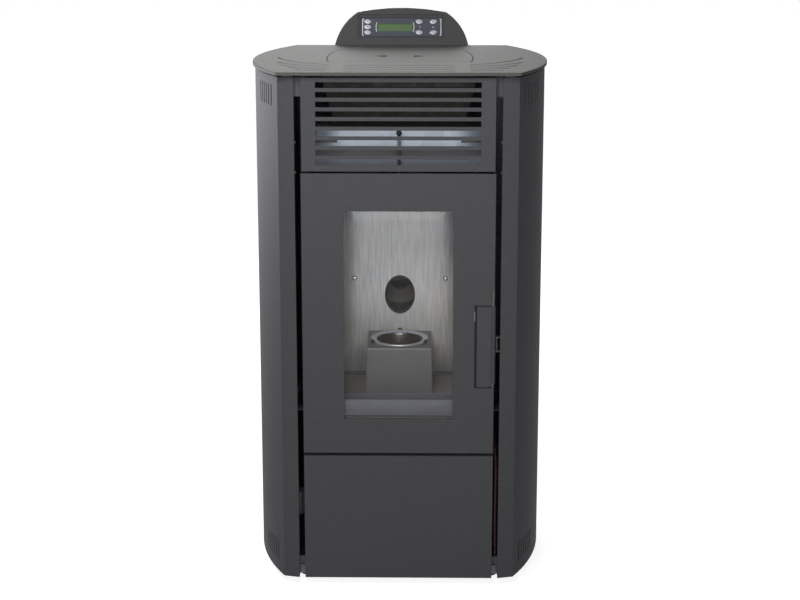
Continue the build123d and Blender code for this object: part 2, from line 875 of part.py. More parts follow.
def door_frame():
    """Inner frame behind the door plate, with the groove for the rope seal."""
    half = mouth_half + frame_inside
    z = (mouth_bottom - frame_inside, mouth_top + frame_inside)
    frame = wall_ring(half, z, (door_sheet, frame_back), frame_width)
    inset = (frame_width - rope_width) / 2
    groove = wall_ring(
        half + inset, (z[0] - inset, z[1] + inset), (frame_back - rope_groove, frame_back), rope_width
    )
    return frame - groove


def door_seal():
    """Rope seal in the groove: it stands just clear of the firebox's flange."""
    inset = frame_inside + (frame_width - rope_width) / 2
    half = mouth_half + inset
    z = (mouth_bottom - inset, mouth_top + inset)
    return wall_ring(half, z, (frame_back - rope_groove, rope_back), rope_width)


def door_glass():
    """Ceramic pane against the back of the door plate."""
    half = window_half + glass_overlap
    return block(
        (-half, half),
        (door_sheet, door_sheet + glass_thickness),
        (window_bottom - glass_overlap + 1, window_top + glass_overlap),
    )


def glass_clips():
    """Six clips on the inner frame that hold the pane, each with its screw."""
    pieces = []
    inner = mouth_half + frame_inside
    edge = window_half + glass_overlap
    y = door_sheet + glass_thickness
    for z in (window_bottom + clip_inset, (window_bottom + window_top) / 2, window_top - clip_inset):
        high = (z - clip_height / 2, z + clip_height / 2)
        clip = block((edge - clip_lap, inner), (y, y + clip_sheet), high)
        heel = block((edge + 3, inner), (door_sheet, y), high)
        screw_x = (edge + inner) / 2 + 2
        screw = rod((screw_x, y + clip_sheet, z), (screw_x, y + clip_sheet + 2.5, z), clip_screw)
        pieces.append(both_sides(clip + heel + screw))
    return Compound(pieces)


def door_hinges():
    """The stove's half of the hinges: knuckles with pins, on leaves from the firebox flange."""
    pieces = []
    for (low, high), (_, pin_top) in zip(knuckle_heights(False), knuckle_heights(True)):
        knuckle = hinge_rod((low, high), hinge_knuckle)
        pin = hinge_rod((high, pin_top - 1), hinge_pin)
        leaf_x = (hinge_x + 1.2, hinge_x + hinge_knuckle - 0.6)
        pieces.append(knuckle + block(leaf_x, (hinge_y, flange_y), (low, high)) + pin)
    return Compound(pieces)


def handle_plate():
    """The flap that the fingers pull: a plate, a web back to the shaft and a barrel round it."""
    z = (handle_bottom, handle_top)
    plate = block((handle_left, handle_right), (0, handle_sheet), z)
    right_edges = plate.edges().filter_by(Axis.Y).group_by(Axis.X)[-1]
    plate = fillet(right_edges.sort_by(Axis.Z)[0], 5)
    barrel_z = (z[0] + 5, z[1])
    flap = plate + block((handle_right - handle_sheet, handle_right), (handle_sheet, shaft_y), barrel_z)
    flap += shaft_rod(barrel_z, shaft_radius + barrel_wall)
    flap -= shaft_rod((z[0], z[1] + 1), shaft_radius)
    middle = (tongue_z - tongue_height / 2, tongue_z + tongue_height / 2)
    return flap - block((shaft_x - 6, shaft_x + 8), (shaft_y, shaft_y + 8), middle)


def handle_shaft():
    """The flap's shaft with the latch tongue that points back beside the keeper."""
    low = bearing_heights()[0] + 1
    high = bearing_heights()[1] + bearing_length - 1
    shaft = shaft_rod((low, high), shaft_radius)
    z = (tongue_z - tongue_height / 2 + 0.5, tongue_z + tongue_height / 2 - 0.5)
    tongue = block((shaft_x - 2.5, shaft_x + 2.5), (shaft_y, shaft_y + tongue_reach), z)
    nose = block((shaft_x + 2.5, shaft_x + 4.0), (shaft_y + tongue_reach - 4.5, shaft_y + tongue_reach), z)
    return shaft + tongue + nose


def latch_keeper():
    """Round keeper on an arm from the front post, beside the latch tongue."""
    y = shaft_y + tongue_reach - 3
    z = (tongue_z - tongue_height, tongue_z + tongue_height)
    pin = rod((keeper_x, y, z[0]), (keeper_x, y, z[1]), keeper_radius)
    post_y = tray_front + tray_sheet
    arm_x = (keeper_x - keeper_radius, strip_inner_x + casing_sheet + post_gap)
    arm_y = (strip_return + 0.4, post_y + 7)
    arms = [block(arm_x, arm_y, (edge - 1, edge + 1)) for edge in (z[0] - 1, z[1] + 1)]
    back = block((arm_x[1] - 2, arm_x[1]), (post_y, arm_y[1]), (z[0] - 2, z[1] + 2))
    return pin + arms[0] + arms[1] + back


# ---- Firebox ------------------------------------------------------------------------------------


def firebox_shell():
    """Welded firebox: front flange, walls, raised rear floor, holes for chute, igniter and air."""
    flange = block(
        (-flange_half, flange_half),
        (flange_y, flange_y + 2),
        (mouth_bottom - flange_margin, flange_top),
    )
    sheet = firebox_sheet
    outer = block(
        (-chamber_half - sheet, chamber_half + sheet),
        (flange_y + 2, shell_back),
        (chamber_floor - sheet, chamber_top + sheet),
    )
    shell = flange + outer
    shell -= block(
        (-chamber_half, chamber_half), (flange_y + 2, shell_back - sheet), (chamber_floor, chamber_top)
    )
    shell -= block((-mouth_half, mouth_half), (flange_y - 1, flange_y + 3), (mouth_bottom, mouth_top))
    step_y = (ash_pan_back + 0.7, shell_back - sheet)
    step = block((-chamber_half, chamber_half), step_y, (chamber_floor, burner_floor))
    step -= block(
        (-chamber_half, chamber_half), (step_y[0] + sheet, step_y[1]), (chamber_floor, burner_floor - sheet)
    )
    shell += step
    shell -= chute_cutter()
    near = step_y[1] - 2
    far = shell_back + 1
    shell -= rod((0, near, igniter_z), (0, far, igniter_z), igniter_radius + igniter_room)
    shell -= rod((air_pipe_x, near, air_pipe_z), (air_pipe_x, far, air_pipe_z), air_pipe_radius)
    duct_x = (smoke_duct_x[0] + 2 * fan_sheet, smoke_duct_x[1] - 2 * fan_sheet)
    duct_y = (step_y[0] + 8, shell_back - sheet - 6)
    shell -= block(duct_x, duct_y, (chamber_floor - sheet - 1, chamber_floor + 1))
    low = chamber_top - 1
    high = chamber_top + sheet + 1
    return shell - rod((0, scraper_y, low), (0, scraper_y, high), scraper_radius + hinge_fit)


def chute_cutter():
    """The pellet chute's bore through the firebox back, down towards the burn pot."""
    middle = Vector(0, back_plate_y, chute_z)
    return rod(middle - chute_dir * 20, middle + chute_dir * 20, chute_bore)


def back_plate():
    """Brushed steel lining at the back of the firebox, with the oval chute hole."""
    plate = block(
        (-chamber_half + 0.5, chamber_half - 0.5),
        (back_plate_y, back_plate_y + back_plate_sheet),
        (burner_floor, chamber_top - 2),
    )
    plate -= chute_cutter()
    near = back_plate_y - 1
    return plate - rod((0, near, igniter_z), (0, shell_back, igniter_z), igniter_radius + igniter_room)


def back_plate_screws():
    """Two socket screws with domed heads."""
    place = (plate_screw_x, back_plate_y, plate_screw_z)
    foot_plane = Plane(place, z_dir=(0, -1, 0))
    head = extrude(foot_plane * Circle(screw_head), screw_head_height)
    head = fillet(head.edges().filter_by(GeomType.CIRCLE).sort_by(Axis.Y)[0], screw_head_height / 2)
    socket = foot_plane.offset(screw_head_height) * RegularPolygon(screw_socket, 6)
    return both_sides(head - extrude(socket, -screw_head_height / 2))


def ash_pan():
    """Open pan in front of the burner, with the high front lip that is seen through the window."""
    sheet = ash_pan_sheet
    floor = chamber_floor + 0.3
    pan = block((-ash_pan_half, ash_pan_half), (ash_pan_front, ash_pan_back), (floor, burner_floor))
    inner = (-ash_pan_half + sheet, ash_pan_half - sheet)
    pan -= block(inner, (ash_pan_front + sheet, ash_pan_back - sheet), (floor + sheet, burner_floor))
    lip_x = (-mouth_half + 1.5, mouth_half - 1.5)
    return pan + block(lip_x, (ash_pan_front, ash_pan_front + sheet), (floor, ash_pan_lip))


def burner_box():
    """Sheet box that carries the burn pot: open below, with holes for the pot and the igniter."""
    outer = make_face(
        Polyline(
            (-box_half_bottom, burner_floor),
            (box_half_bottom, burner_floor),
            (box_half_top, box_top),
            (-box_half_top, box_top),
            close=True,
        )
    )
    body = Pos(0, box_front, 0) * extrude(Plane.XZ * outer, -(box_back - box_front))
    room = Pos(0, box_front + box_sheet, 0) * extrude(
        Plane.XZ * offset(outer, -box_sheet), -(box_back - box_front - 2 * box_sheet)
    )
    room += block(
        (-box_half_top + 4, box_half_top - 4),
        (box_front + box_sheet, box_back - box_sheet),
        (burner_floor, burner_floor + 2 * box_sheet),
    )
    body -= room
    body -= Pos(0, pot_y, box_top) * Cylinder(pot_mouth + pot_wall + pot_clearance, 6 * box_sheet)
    near = box_back - 2 * box_sheet
    return body - rod((0, near, igniter_z), (0, box_back + 2, igniter_z), igniter_radius + igniter_room)


def pot_lugs():
    """Three lugs riveted to the burner box, which centre the burn pot's ring."""
    pieces = []
    inner = pot_rim + lug_gap
    z = (box_top, box_top + lug_height)
    for angle in lug_angles:
        lug = block((inner, inner + lug_depth), (-lug_width / 2, lug_width / 2), z)
        if angle == 90:
            lug &= block((0, box_back - pot_y), (-lug_width, lug_width), (0, box_top + lug_height))
        pieces.append(Pos(0, pot_y, 0) * Rot(0, 0, angle) * lug)
    return pieces


def burn_pot():
    """Cast cup with a flat ring, air holes in its wall and base."""
    rim = Circle(pot_rim)
    ring = Pos(0, 0, box_top) * extrude(rim, pot_rim_height)
    ring = fillet(ring.edges().group_by(Axis.Z)[-1], 1.2)
    base_z = box_top - pot_depth
    cup = loft(
        [
            Pos(0, 0, base_z) * Circle(pot_base + pot_wall),
            Pos(0, 0, box_top) * Circle(pot_mouth + pot_wall),
        ]
    )
    cavity = loft(
        [
            Pos(0, 0, base_z + pot_wall) * Circle(pot_base),
            Pos(0, 0, box_top + pot_rim_height) * Circle(pot_mouth),
        ]
    )
    pot = ring + cup - cavity
    hole = Cylinder(pot_base_hole, 4 * pot_wall)
    for ring_radius, count in pot_base_holes:
        for index in range(count):
            turn = 360 * index / count
            pot -= Pos(0, 0, base_z) * Rot(0, 0, turn) * Pos(ring_radius, 0, 0) * hole
    side_hole = Pos(pot_base + 4, 0, 0) * Rot(0, 90, 0) * Cylinder(pot_side_hole, 5 * pot_wall)
    for index in range(pot_side_holes):
        turn = 360 * (index + 0.5) / pot_side_holes
        pot -= Pos(0, 0, base_z + pot_side_hole_z) * Rot(0, 0, turn) * side_hole
    return Pos(0, pot_y, 0) * pot


def igniter():
    """Hot rod behind the burn pot, in a collar on the firebox back."""
    tip = (0, pot_y + pot_base + igniter_tip_gap, igniter_z)
    end = (0, shell_back + igniter_tail, igniter_z)
    collar_end = (0, shell_back + igniter_collar_length, igniter_z)
    collar = rod((0, shell_back, igniter_z), collar_end, igniter_radius + igniter_collar)
    return rod(tip, end, igniter_radius) + collar


# ---- Heat exchanger -----------------------------------------------------------------------------


def heat_tubes():
    """Row of warm-air tubes above the firebox, open to the grille, in a rear header plate."""
    first = -(tube_count - 1) / 2
    back = tube_back
    deck = flange_top + casing_sheet
    header = block((-hood_half + 3, hood_half - 3), (back - 2, back), (deck, hood_bottom))
    for index in range(tube_count):
        x = (first + index) * tube_pitch
        header -= rod((x, back - 3, tube_z), (x, back + 1, tube_z), tube_radius - tube_wall)
        header += tube((x, tube_front, tube_z), (x, back - 2, tube_z), tube_radius, tube_wall)
    saddle_z = (deck, tube_z - tube_radius + 2)
    for y in (tube_front + 10, back - 16):
        saddle = block((-hood_half + 10, hood_half - 10), (y, y + 2), saddle_z)
        for index in range(tube_count):
            x = (first + index) * tube_pitch
            saddle -= rod((x, y - 1, tube_z), (x, y + 3, tube_z), tube_radius)
        header += saddle
    return header


def air_hood():
    """Bright sheet hood over the warm-air tubes, on a deck behind the grille."""
    back = hood_back
    sheet = casing_sheet
    face = block((-hood_half, hood_half), (hood_front, hood_front + sheet), (hood_bottom, hood_top))
    roof = block((-hood_half, hood_half), (hood_front, back), (hood_top - sheet, hood_top))
    cheek = block(
        (hood_half - sheet, hood_half), (hood_front, back), (chamber_top + firebox_sheet, hood_top)
    )
    deck = block((-hood_half, hood_half), (flange_y, deck_back), (flange_top, flange_top + sheet))
    deck -= rod((0, scraper_y, flange_top - 1), (0, scraper_y, flange_top + 3), 2 * scraper_radius)
    return face + roof + cheek + mirror(cheek, about=Plane.YZ) + deck


def tube_scraper():
    """Upright cleaning rod with a round knob, and the scraper plate inside the firebox."""
    low = chamber_top - scraper_reach
    shaft = rod((0, scraper_y, low), (0, scraper_y, scraper_knob_z), scraper_radius)
    knob = Pos(0, scraper_y, scraper_knob_z) * Sphere(scraper_knob)
    wide, deep, thick = scraper_plate
    plate = block((-wide, wide), (scraper_y - deep, scraper_y + deep), (low - thick, low))
    return shaft + knob + plate


# ---- Pellet feed --------------------------------------------------------------------------------


def hopper_solid(inset):
    """The hopper's form, drawn in by inset: a straight bin over a lopsided funnel."""
    front = hopper_front + inset
    back = hopper_back - inset
    half = hopper_half - inset
    top = block((-half, half), (front, back), (hopper_taper_top, plate_bottom))
    upper = Pos(0, (front + back) / 2, hopper_taper_top) * Rectangle(2 * half, back - front)
    y0, y1 = throat_front + inset, throat_back + 2 - inset
    lower = Pos(0, (y0 + y1) / 2, hopper_outlet_z) * Rectangle(2 * (throat_half - inset + 1.5), y1 - y0)
    return top + loft([lower, upper])


def hopper():
    """Pellet bin under the lid, open at the top and at its outlet."""
    return hopper_solid(0) - hopper_solid(hopper_sheet)


def feed_tube():
    """Inclined auger tube with the throat from the hopper and the chute down to the burn pot."""
    top = auger_foot + auger_dir * auger_length
    outer = rod(auger_foot, top, auger_tube_bore + auger_tube_wall)
    sheet = auger_tube_wall
    throat_z = (auger_foot_z + 26, hopper_outlet_z)
    throat = block((-throat_half, throat_half), (throat_front, throat_back), throat_z)
    gate = block(
        (-throat_half + sheet, throat_half - sheet),
        (throat_front + sheet, throat_back - sheet),
        (throat_z[0] + sheet, throat_z[1]),
    )
    middle = Vector(0, back_plate_y, chute_z)
    reach = chute_reach()
    cut = 2 * (chute_bore + chute_wall)
    chute = rod(middle, (middle + chute_dir * reach), chute_bore + chute_wall)
    chute_room = rod((middle - chute_dir * cut), (middle + chute_dir * reach), chute_bore)
    front_z = (chute_z - 2 * cut, chute_z + 2 * cut)
    front_side = block((-cut, cut), (shell_back - 2 * cut, shell_back), front_z)
    body = outer + throat + (chute - front_side)
    start = auger_foot + auger_dir * auger_bearing
    end = auger_foot + auger_dir * (auger_length - auger_bearing)
    room = rod(start, end, auger_tube_bore)
    body -= room + gate + chute_room
    shaft_room = auger_shaft + hinge_fit
    low = auger_foot - auger_dir * 5
    high = auger_foot + auger_dir * (auger_length + 5)
    return body - rod(low, high, shaft_room)


def chute_reach():
    """Distance up the chute's axis from the back plate to the auger's axis."""
    slope_a = tan(radians(auger_slope))
    slope_c = tan(radians(chute_slope))
    y = (auger_foot_z + slope_a * auger_foot_y - chute_z + slope_c * back_plate_y) / (slope_a + slope_c)
    return (y - back_plate_y) / cos(radians(chute_slope))


def auger_screw():
    """Screw on its shaft: one flat flight that climbs the tube, and a shaft to the gearbox."""
    low = auger_foot - auger_dir * 12
    high = auger_foot + auger_dir * (auger_length + 4)
    shaft = rod(low, high, auger_shaft)
    start = auger_bearing + 4
    length = auger_length - 2 * auger_bearing - 8
    helix = Helix(auger_pitch, length, auger_shaft - 1)
    strip_width = auger_flight - auger_shaft + 1
    strip = Pos(auger_shaft - 1 + strip_width / 2, 0, 0) * Rot(90, 0, 0) * Rectangle(strip_width, 3)
    flight = sweep(strip, path=helix, is_frenet=True)
    frame = Plane((auger_foot + auger_dir * start), z_dir=auger_dir)
    return shaft + frame.location * flight


def auger_motor():
    """Gearbox and motor on the auger's lower end."""
    frame = Plane((auger_foot - auger_dir * 0.5), x_dir=(1, 0, 0), z_dir=(-auger_dir))
    gearbox = extrude(frame * RectangleRounded(gearbox_size, gearbox_size, 6), gearbox_length)
    motor = extrude(frame.offset(gearbox_length) * Circle(motor_radius), motor_length)
    return gearbox + motor - extrude(frame * Circle(auger_shaft + 0.5), 14)


# ---- Fans and air -------------------------------------------------------------------------------


def across(x0, x1, y, z, radius):
    """A round bar along X."""
    return rod((x0, y, z), (x1, y, z), radius)


def smoke_fan_housing():
    """Snail housing with its inlet duct from the firebox floor and its outlet to the rear."""
    x0, x1 = smoke_x
    y, z = smoke_axis_y, smoke_axis_z
    outlet_z = (z - smoke_radius, z + smoke_outlet_rise)
    outlet_y = smoke_outlet_y
    body = across(x0, x1, y, z, smoke_radius) + block((x0, x1), (y, outlet_y), outlet_z)
    inner = (x0 + fan_sheet, x1 - fan_sheet)
    room = across(*inner, y, z, smoke_radius - fan_sheet)
    room += block(inner, (y, outlet_y - fan_sheet), (outlet_z[0] + fan_sheet, outlet_z[1] - fan_sheet))
    body -= room
    duct_top = chamber_floor - firebox_sheet
    duct = block(smoke_duct_x, smoke_duct_y, (smoke_duct_floor, duct_top))
    lid_y = shell_back - firebox_sheet - 2
    duct_room = block(
        (smoke_duct_x[0] + fan_sheet, smoke_duct_x[1] - fan_sheet),
        (smoke_duct_y[0] + fan_sheet, smoke_duct_y[1] - fan_sheet),
        (smoke_duct_floor + fan_sheet, duct_top - fan_sheet),
    )
    mouth = block(
        (smoke_duct_x[0] + fan_sheet, smoke_duct_x[1] - fan_sheet),
        (smoke_duct_y[0] + fan_sheet, lid_y),
        (duct_top - fan_sheet, duct_top),
    )
    body += duct - duct_room - mouth
    body -= across(smoke_duct_x[1] - fan_sheet - 1, x0 + fan_sheet + 1, y, z, smoke_inlet_bore)
    body -= across(x1 - fan_sheet - 1, x1 + 1, y, z, fan_shaft + 2)
    near = outlet_y - 2 * fan_sheet
    far = outlet_y + fan_sheet
    return body - rod((smoke_middle, near, spigot_z), (smoke_middle, far, spigot_z), smoke_outlet_bore)


def bladed_wheel(radius, width, count, hub):
    """A fan wheel about X: a back disc, a front ring, straight blades and a hub."""
    disc = Cylinder(radius, wheel_sheet)
    ring = Cylinder(radius, wheel_sheet) - Cylinder(radius * wheel_ring_share, wheel_sheet)
    boss = Pos(0, 0, width / 2 - 1) * Cylinder(hub + 5, width)
    wheel = disc + boss + Pos(0, 0, width) * ring
    inner = radius * wheel_blade_share
    blade = Pos((inner + radius) / 2, 0, width / 2) * Box(radius - inner, wheel_blade_sheet, width)
    for index in range(count):
        wheel += Rot(0, 0, 360 * index / count) * blade
    return Rot(0, 90, 0) * wheel


def smoke_fan_wheel():
    """Smoke fan wheel with its shaft, which turns in the motor."""
    wheel = bladed_wheel(smoke_wheel_radius, smoke_wheel_width, smoke_blades, fan_shaft)
    shaft_end = smoke_wheel_inset + smoke_motor_length * smoke_shaft_share
    shaft = rod((-smoke_wheel_width / 2, 0, 0), (shaft_end, 0, 0), fan_shaft)
    place = Pos(smoke_x[1] - smoke_wheel_inset, smoke_axis_y, smoke_axis_z)
    return place * (mirror(wheel, about=Plane.YZ) + shaft)


def smoke_fan_motor():
    """Motor on the housing's outer side: its shaft bore, end bell and cooling fins."""
    x1 = smoke_x[1]
    y, z = smoke_axis_y, smoke_axis_z
    body = across(x1, x1 + smoke_motor_length, y, z, smoke_motor_radius)
    for index in range(smoke_fins):
        x = x1 + smoke_fin_start + index * smoke_fin_pitch
        groove = across(x, x + smoke_fin_gap, y, z, smoke_motor_radius)
        body -= groove - across(x, x + smoke_fin_gap, y, z, smoke_motor_radius - smoke_fin_depth)
    bore_end = x1 + smoke_motor_length * smoke_shaft_share + 2
    return body - across(x1 - 1, bore_end, y, z, fan_shaft + hinge_fit)


def flue_spigot():
    """Round smoke outlet, from the fan housing's outlet to outside the rear panel."""
    start = (smoke_middle, smoke_outlet_y, spigot_z)
    end = (smoke_middle, casing_depth + spigot_reach, spigot_z)
    return tube(start, end, spigot_radius, spigot_wall)


def air_pipe():
    """Combustion air pipe from outside the rear panel to the firebox plenum."""
    return tube(
        (air_pipe_x, shell_back, air_pipe_z),
        (air_pipe_x, casing_depth + air_pipe_reach, air_pipe_z),
        air_pipe_radius,
        air_pipe_wall,
    )


def room_fan_housing():
    """Room fan housing on the base, with its outlet upwards and its two side inlets."""
    x0, x1 = room_x
    y, z = room_axis_y, room_axis_z
    outlet_top = z + room_radius + room_outlet_rise
    body = across(x0, x1, y, z, room_radius)
    body += block((x0, x1), (y, y + room_radius), (z, outlet_top))
    inner = (x0 + fan_sheet, x1 - fan_sheet)
    room = across(*inner, y, z, room_radius - fan_sheet)
    room += block(inner, (y + fan_sheet, y + room_radius - fan_sheet), (z, outlet_top))
    body -= room
    body -= across(x0 - 1, x1 + 1, y, z, room_wheel_radius * room_inlet_share)
    stand_y = (y - room_foot_half, y + room_foot_half)
    stand = block((x0, x1), stand_y, (tray_sheet, z - room_radius + 2 * fan_sheet))
    body += stand - across(x0, x1, y, z, room_radius - fan_sheet)
    for x in (x0, x1 - fan_sheet):
        arm = block((x, x + fan_sheet), (y - 5, y + 5), (z - room_radius + 2, z))
        body += arm + across(x, x + fan_sheet, y, z, fan_shaft + 6)
    return body - across(x0 - 1, x1 + 1, y, z, fan_shaft + hinge_fit)


def room_fan_wheel():
    """Double room fan wheel with its shaft through both side arms."""
    x0, x1 = room_x
    start = x0 + (x1 - x0 - room_wheel_width) / 2
    wheel = bladed_wheel(room_wheel_radius, room_wheel_width, room_blades, fan_shaft)
    shaft = rod((x0 - 4, 0, 0), (x1 + 4, 0, 0), fan_shaft)
    return Pos(0, room_axis_y, room_axis_z) * (Pos(start, 0, 0) * wheel + shaft)


# ---- Electrics ----------------------------------------------------------------------------------


def power_inlet():
    """Three-pin inlet with a square hole for the switch above it, snapped into the rear panel."""
    wide, tall = inlet_size
    face = casing_back + inlet_rim

    def around(x, z, half_x, half_z, y):
        return block((x - half_x, x + half_x), y, (z - half_z, z + half_z))

    body_y = (casing_back - casing_sheet - inlet_depth, casing_back)
    body = around(inlet_x, inlet_z, wide / 2 - inlet_fit, tall / 2 - inlet_fit, body_y)
    body += around(
        inlet_x, inlet_z, wide / 2 + inlet_rim, tall / 2 + inlet_rim, (casing_back, face)
    )
    socket_z = inlet_z - tall / 4
    socket_y = (casing_back - socket_depth, face + 1)
    body -= around(inlet_x, socket_z, *socket_half, socket_y)
    for dx, dz in socket_pins:
        pin_y = (casing_back - socket_depth - 1, casing_back - 6)
        body += around(inlet_x + dx, socket_z + dz, 1, 2, pin_y)
    half_x = switch_size[0] / 2 + switch_fit
    half_z = switch_size[1] / 2 + switch_fit
    body -= around(inlet_x, inlet_z + tall / 4, half_x, half_z, (casing_back - 9, face + 1))
    return body


def rocker_switch():
    """Rocker that tips about a sideways axis in the inlet's square hole."""
    w, h = switch_size
    z = inlet_z + inlet_size[1] / 4
    y = casing_back
    half = h / 2 - 1
    back = y - 4
    edge = y + 3.2
    middle = (y + 1.8, z)
    points = [(back, z - half), (edge, z - half), middle, (edge, z + half), (back, z + half)]
    side = make_face(Polyline(*points, close=True))
    return Pos(inlet_x, 0, 0) * extrude(Plane.YZ * side, w / 2, both=True)


def room_fan_motor():
    """Motor on the room fan's left side, and its capacitor in a metal can on a stand."""
    x0 = room_x[0]
    y, z = room_axis_y, room_axis_z
    motor = across(x0 - room_motor_length, x0, y, z, room_motor_radius)
    motor = fillet(motor.edges().group_by(Axis.X)[0], 6)
    motor -= across(x0 - 8, x0 + 1, y, z, fan_shaft + hinge_fit)
    low, high = capacitor_z
    can = rod((capacitor_x, capacitor_y, low), (capacitor_x, capacitor_y, high), capacitor_radius)
    can = fillet(can.edges().filter_by(GeomType.CIRCLE), 2)
    stand = block((capacitor_x - 2, capacitor_x + 2), (capacitor_y - 8, capacitor_y + 8), (tray_sheet, low))
    return Compound([motor, can + stand])


def wiring_loom():
    """Bundle that climbs behind the right-hand gap from the smoke fan to the control side."""
    floor = tray_sheet + loom_radius + 1
    motor_x = smoke_x[1] + smoke_motor_length / 2
    wall_x = chamber_half + firebox_sheet
    route = (
        (motor_x, smoke_axis_y, smoke_axis_z - smoke_motor_radius),
        (motor_x, smoke_axis_y, 26.0),
        (186.0, 178.0, floor),
        (187.0, 96.0, floor),
        (177.0, 37.0, floor + 6),
        (176.0, 34.0, 118.0),
        (177.0, 37.0, 215.0),
        (wall_x + loom_run + 1, 116.0, 262.0),
        (wall_x + loom_run, 126.0, loom_end_z),
        (wall_x, 126.0, loom_end_z),
    )
    bends = (24.0, 40.0, 45.0, 26.0, 90.0, 60.0, 40.0, loom_bend_share * loom_run)
    path = FilletPolyline(*route, radius=list(bends))
    start = Plane(path @ 0, z_dir=path % 0)
    return sweep(start * Circle(loom_radius), path=path)


# ---- All pieces, in the stove's frame -----------------------------------------------------------

right_panel = side_panel()
parts = {
    "side_panel_right": right_panel,
    "side_panel_left": mirror(right_panel, about=Plane.YZ),
    "top_plate": top_plate(),
    "grille_panel": grille_panel(),
    "lower_panel": folded_panel(panel_half, 0, lower_panel_top),
    "rear_panel": rear_panel(),
    "base_tray": base_tray(),
    "casing_posts": casing_posts(),
    "front_brackets": front_brackets(),
    "console_housing": console_housing(),
    "keypad_plate": keypad_plate(),
    "display_window": display_window(),
    "control_board": control_board(),
    "hopper_lid": hopper_lid(),
    "lid_pins": lid_pins(),
    "door_panel": door_panel(),
    "door_frame": door_frame(),
    "door_seal": door_seal(),
    "door_glass": door_glass(),
    "glass_clips": glass_clips(),
    "door_hinges": door_hinges(),
    "handle_plate": handle_plate(),
    "handle_shaft": handle_shaft(),
    "latch_keeper": latch_keeper(),
    "firebox_shell": firebox_shell(),
    "back_plate": back_plate(),
    "back_plate_screws": back_plate_screws(),
    "ash_pan": ash_pan(),
    "burner_box": Compound([burner_box(), *pot_lugs()]),
    "burn_pot": burn_pot(),
    "igniter": igniter(),
    "heat_tubes": heat_tubes(),
    "air_hood": air_hood(),
    "tube_scraper": tube_scraper(),
    "hopper": hopper(),
    "feed_tube": feed_tube(),
    "auger_screw": auger_screw(),
    "auger_motor": auger_motor(),
    "smoke_fan_housing": smoke_fan_housing(),
    "smoke_fan_wheel": smoke_fan_wheel(),
    "smoke_fan_motor": smoke_fan_motor(),
    "flue_spigot": flue_spigot(),
    "air_pipe": air_pipe(),
    "room_fan_housing": room_fan_housing(),
    "room_fan_wheel": room_fan_wheel(),
    "room_fan_motor": room_fan_motor(),
    "power_inlet": power_inlet(),
    "rocker_switch": rocker_switch(),
    "wiring_loom": wiring_loom(),
}
for name, (x, y) in zip(("front_left", "front_right", "rear_left", "rear_right"), foot_places()):
    parts["foot_" + name] = foot(x, y)
for number, place in enumerate(key_places, start=1):
    parts["key_" + str(number)] = key(place)

console_back = console_foot_y + (console_top_z + 1 - plate_top) * tan(radians(console_lean)) + console_crown
overall_depth = plate_front + max(casing_depth + spigot_reach, console_back)
to_floor = Pos(0, plate_front - overall_depth / 2, floor_gap)
os.makedirs("parts", exist_ok=True)
for name, shape in parts.items():
    export_step(to_floor * shape, "parts/" + name + ".step")
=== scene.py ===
import math

import bpy
import numpy as np
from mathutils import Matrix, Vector


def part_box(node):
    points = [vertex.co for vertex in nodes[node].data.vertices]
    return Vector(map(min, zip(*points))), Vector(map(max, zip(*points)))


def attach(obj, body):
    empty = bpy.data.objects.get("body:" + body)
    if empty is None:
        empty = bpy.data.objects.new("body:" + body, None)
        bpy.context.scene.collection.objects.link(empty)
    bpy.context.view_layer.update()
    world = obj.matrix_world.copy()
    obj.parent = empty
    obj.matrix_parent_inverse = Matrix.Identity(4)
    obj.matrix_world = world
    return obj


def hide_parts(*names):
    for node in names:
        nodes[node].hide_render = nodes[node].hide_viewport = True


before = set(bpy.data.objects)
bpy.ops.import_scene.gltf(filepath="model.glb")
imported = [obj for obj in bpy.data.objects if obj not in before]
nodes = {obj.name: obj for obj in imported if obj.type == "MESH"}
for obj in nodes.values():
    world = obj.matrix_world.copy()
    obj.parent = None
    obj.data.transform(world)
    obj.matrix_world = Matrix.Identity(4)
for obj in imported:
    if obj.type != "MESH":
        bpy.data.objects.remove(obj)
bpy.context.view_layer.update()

scene = bpy.context.scene

# ---- Base tray and corner posts -----------------------------------------------------------------
# The floor of the casing is a folded steel tray, and angle posts stand in it under the top plate.
# Tray and posts are bare galvanised sheet, with the spangle that hot zinc leaves as it sets.

ZINC = (0.34, 0.36, 0.39)
SPANGLE = 0.007                # width of a zinc crystal


def plain(name, colour, roughness, metallic=0.0, specular=0.5):
    """A new material whose plain values stand on the Principled shader's own sockets."""
    made = bpy.data.materials.new(name)
    made.use_nodes = True
    shader = made.node_tree.nodes["Principled BSDF"]
    shader.inputs["Base Color"].default_value = (*colour, 1)
    shader.inputs["Roughness"].default_value = roughness
    shader.inputs["Metallic"].default_value = metallic
    shader.inputs["Specular IOR Level"].default_value = specular
    return made


def add(made, kind, sockets, **settings):
    """Adds a shader node. Each of its sockets gets a value, or a link from another node's output."""
    tree = made.node_tree
    new = tree.nodes.new("ShaderNode" + kind)
    for key, value in settings.items():
        setattr(new, key, value)
    for key, value in sockets.items():
        if isinstance(value, bpy.types.NodeSocket):
            tree.links.new(value, new.inputs[key])
        else:
            new.inputs[key].default_value = value
    return new


def feed(made, socket, output):
    """Links an output to one socket of the material's Principled shader."""
    made.node_tree.links.new(output, made.node_tree.nodes["Principled BSDF"].inputs[socket])


def place_of(made, stretch=(1, 1, 1), turn=(0, 0, 0)):
    """Object coordinates, turned and then stretched along each axis."""
    place = add(made, "TexCoord", {}).outputs["Object"]
    turned = add(made, "Mapping", {"Vector": place, "Rotation": turn}).outputs["Vector"]
    return add(made, "Mapping", {"Vector": turned, "Scale": stretch}).outputs["Vector"]


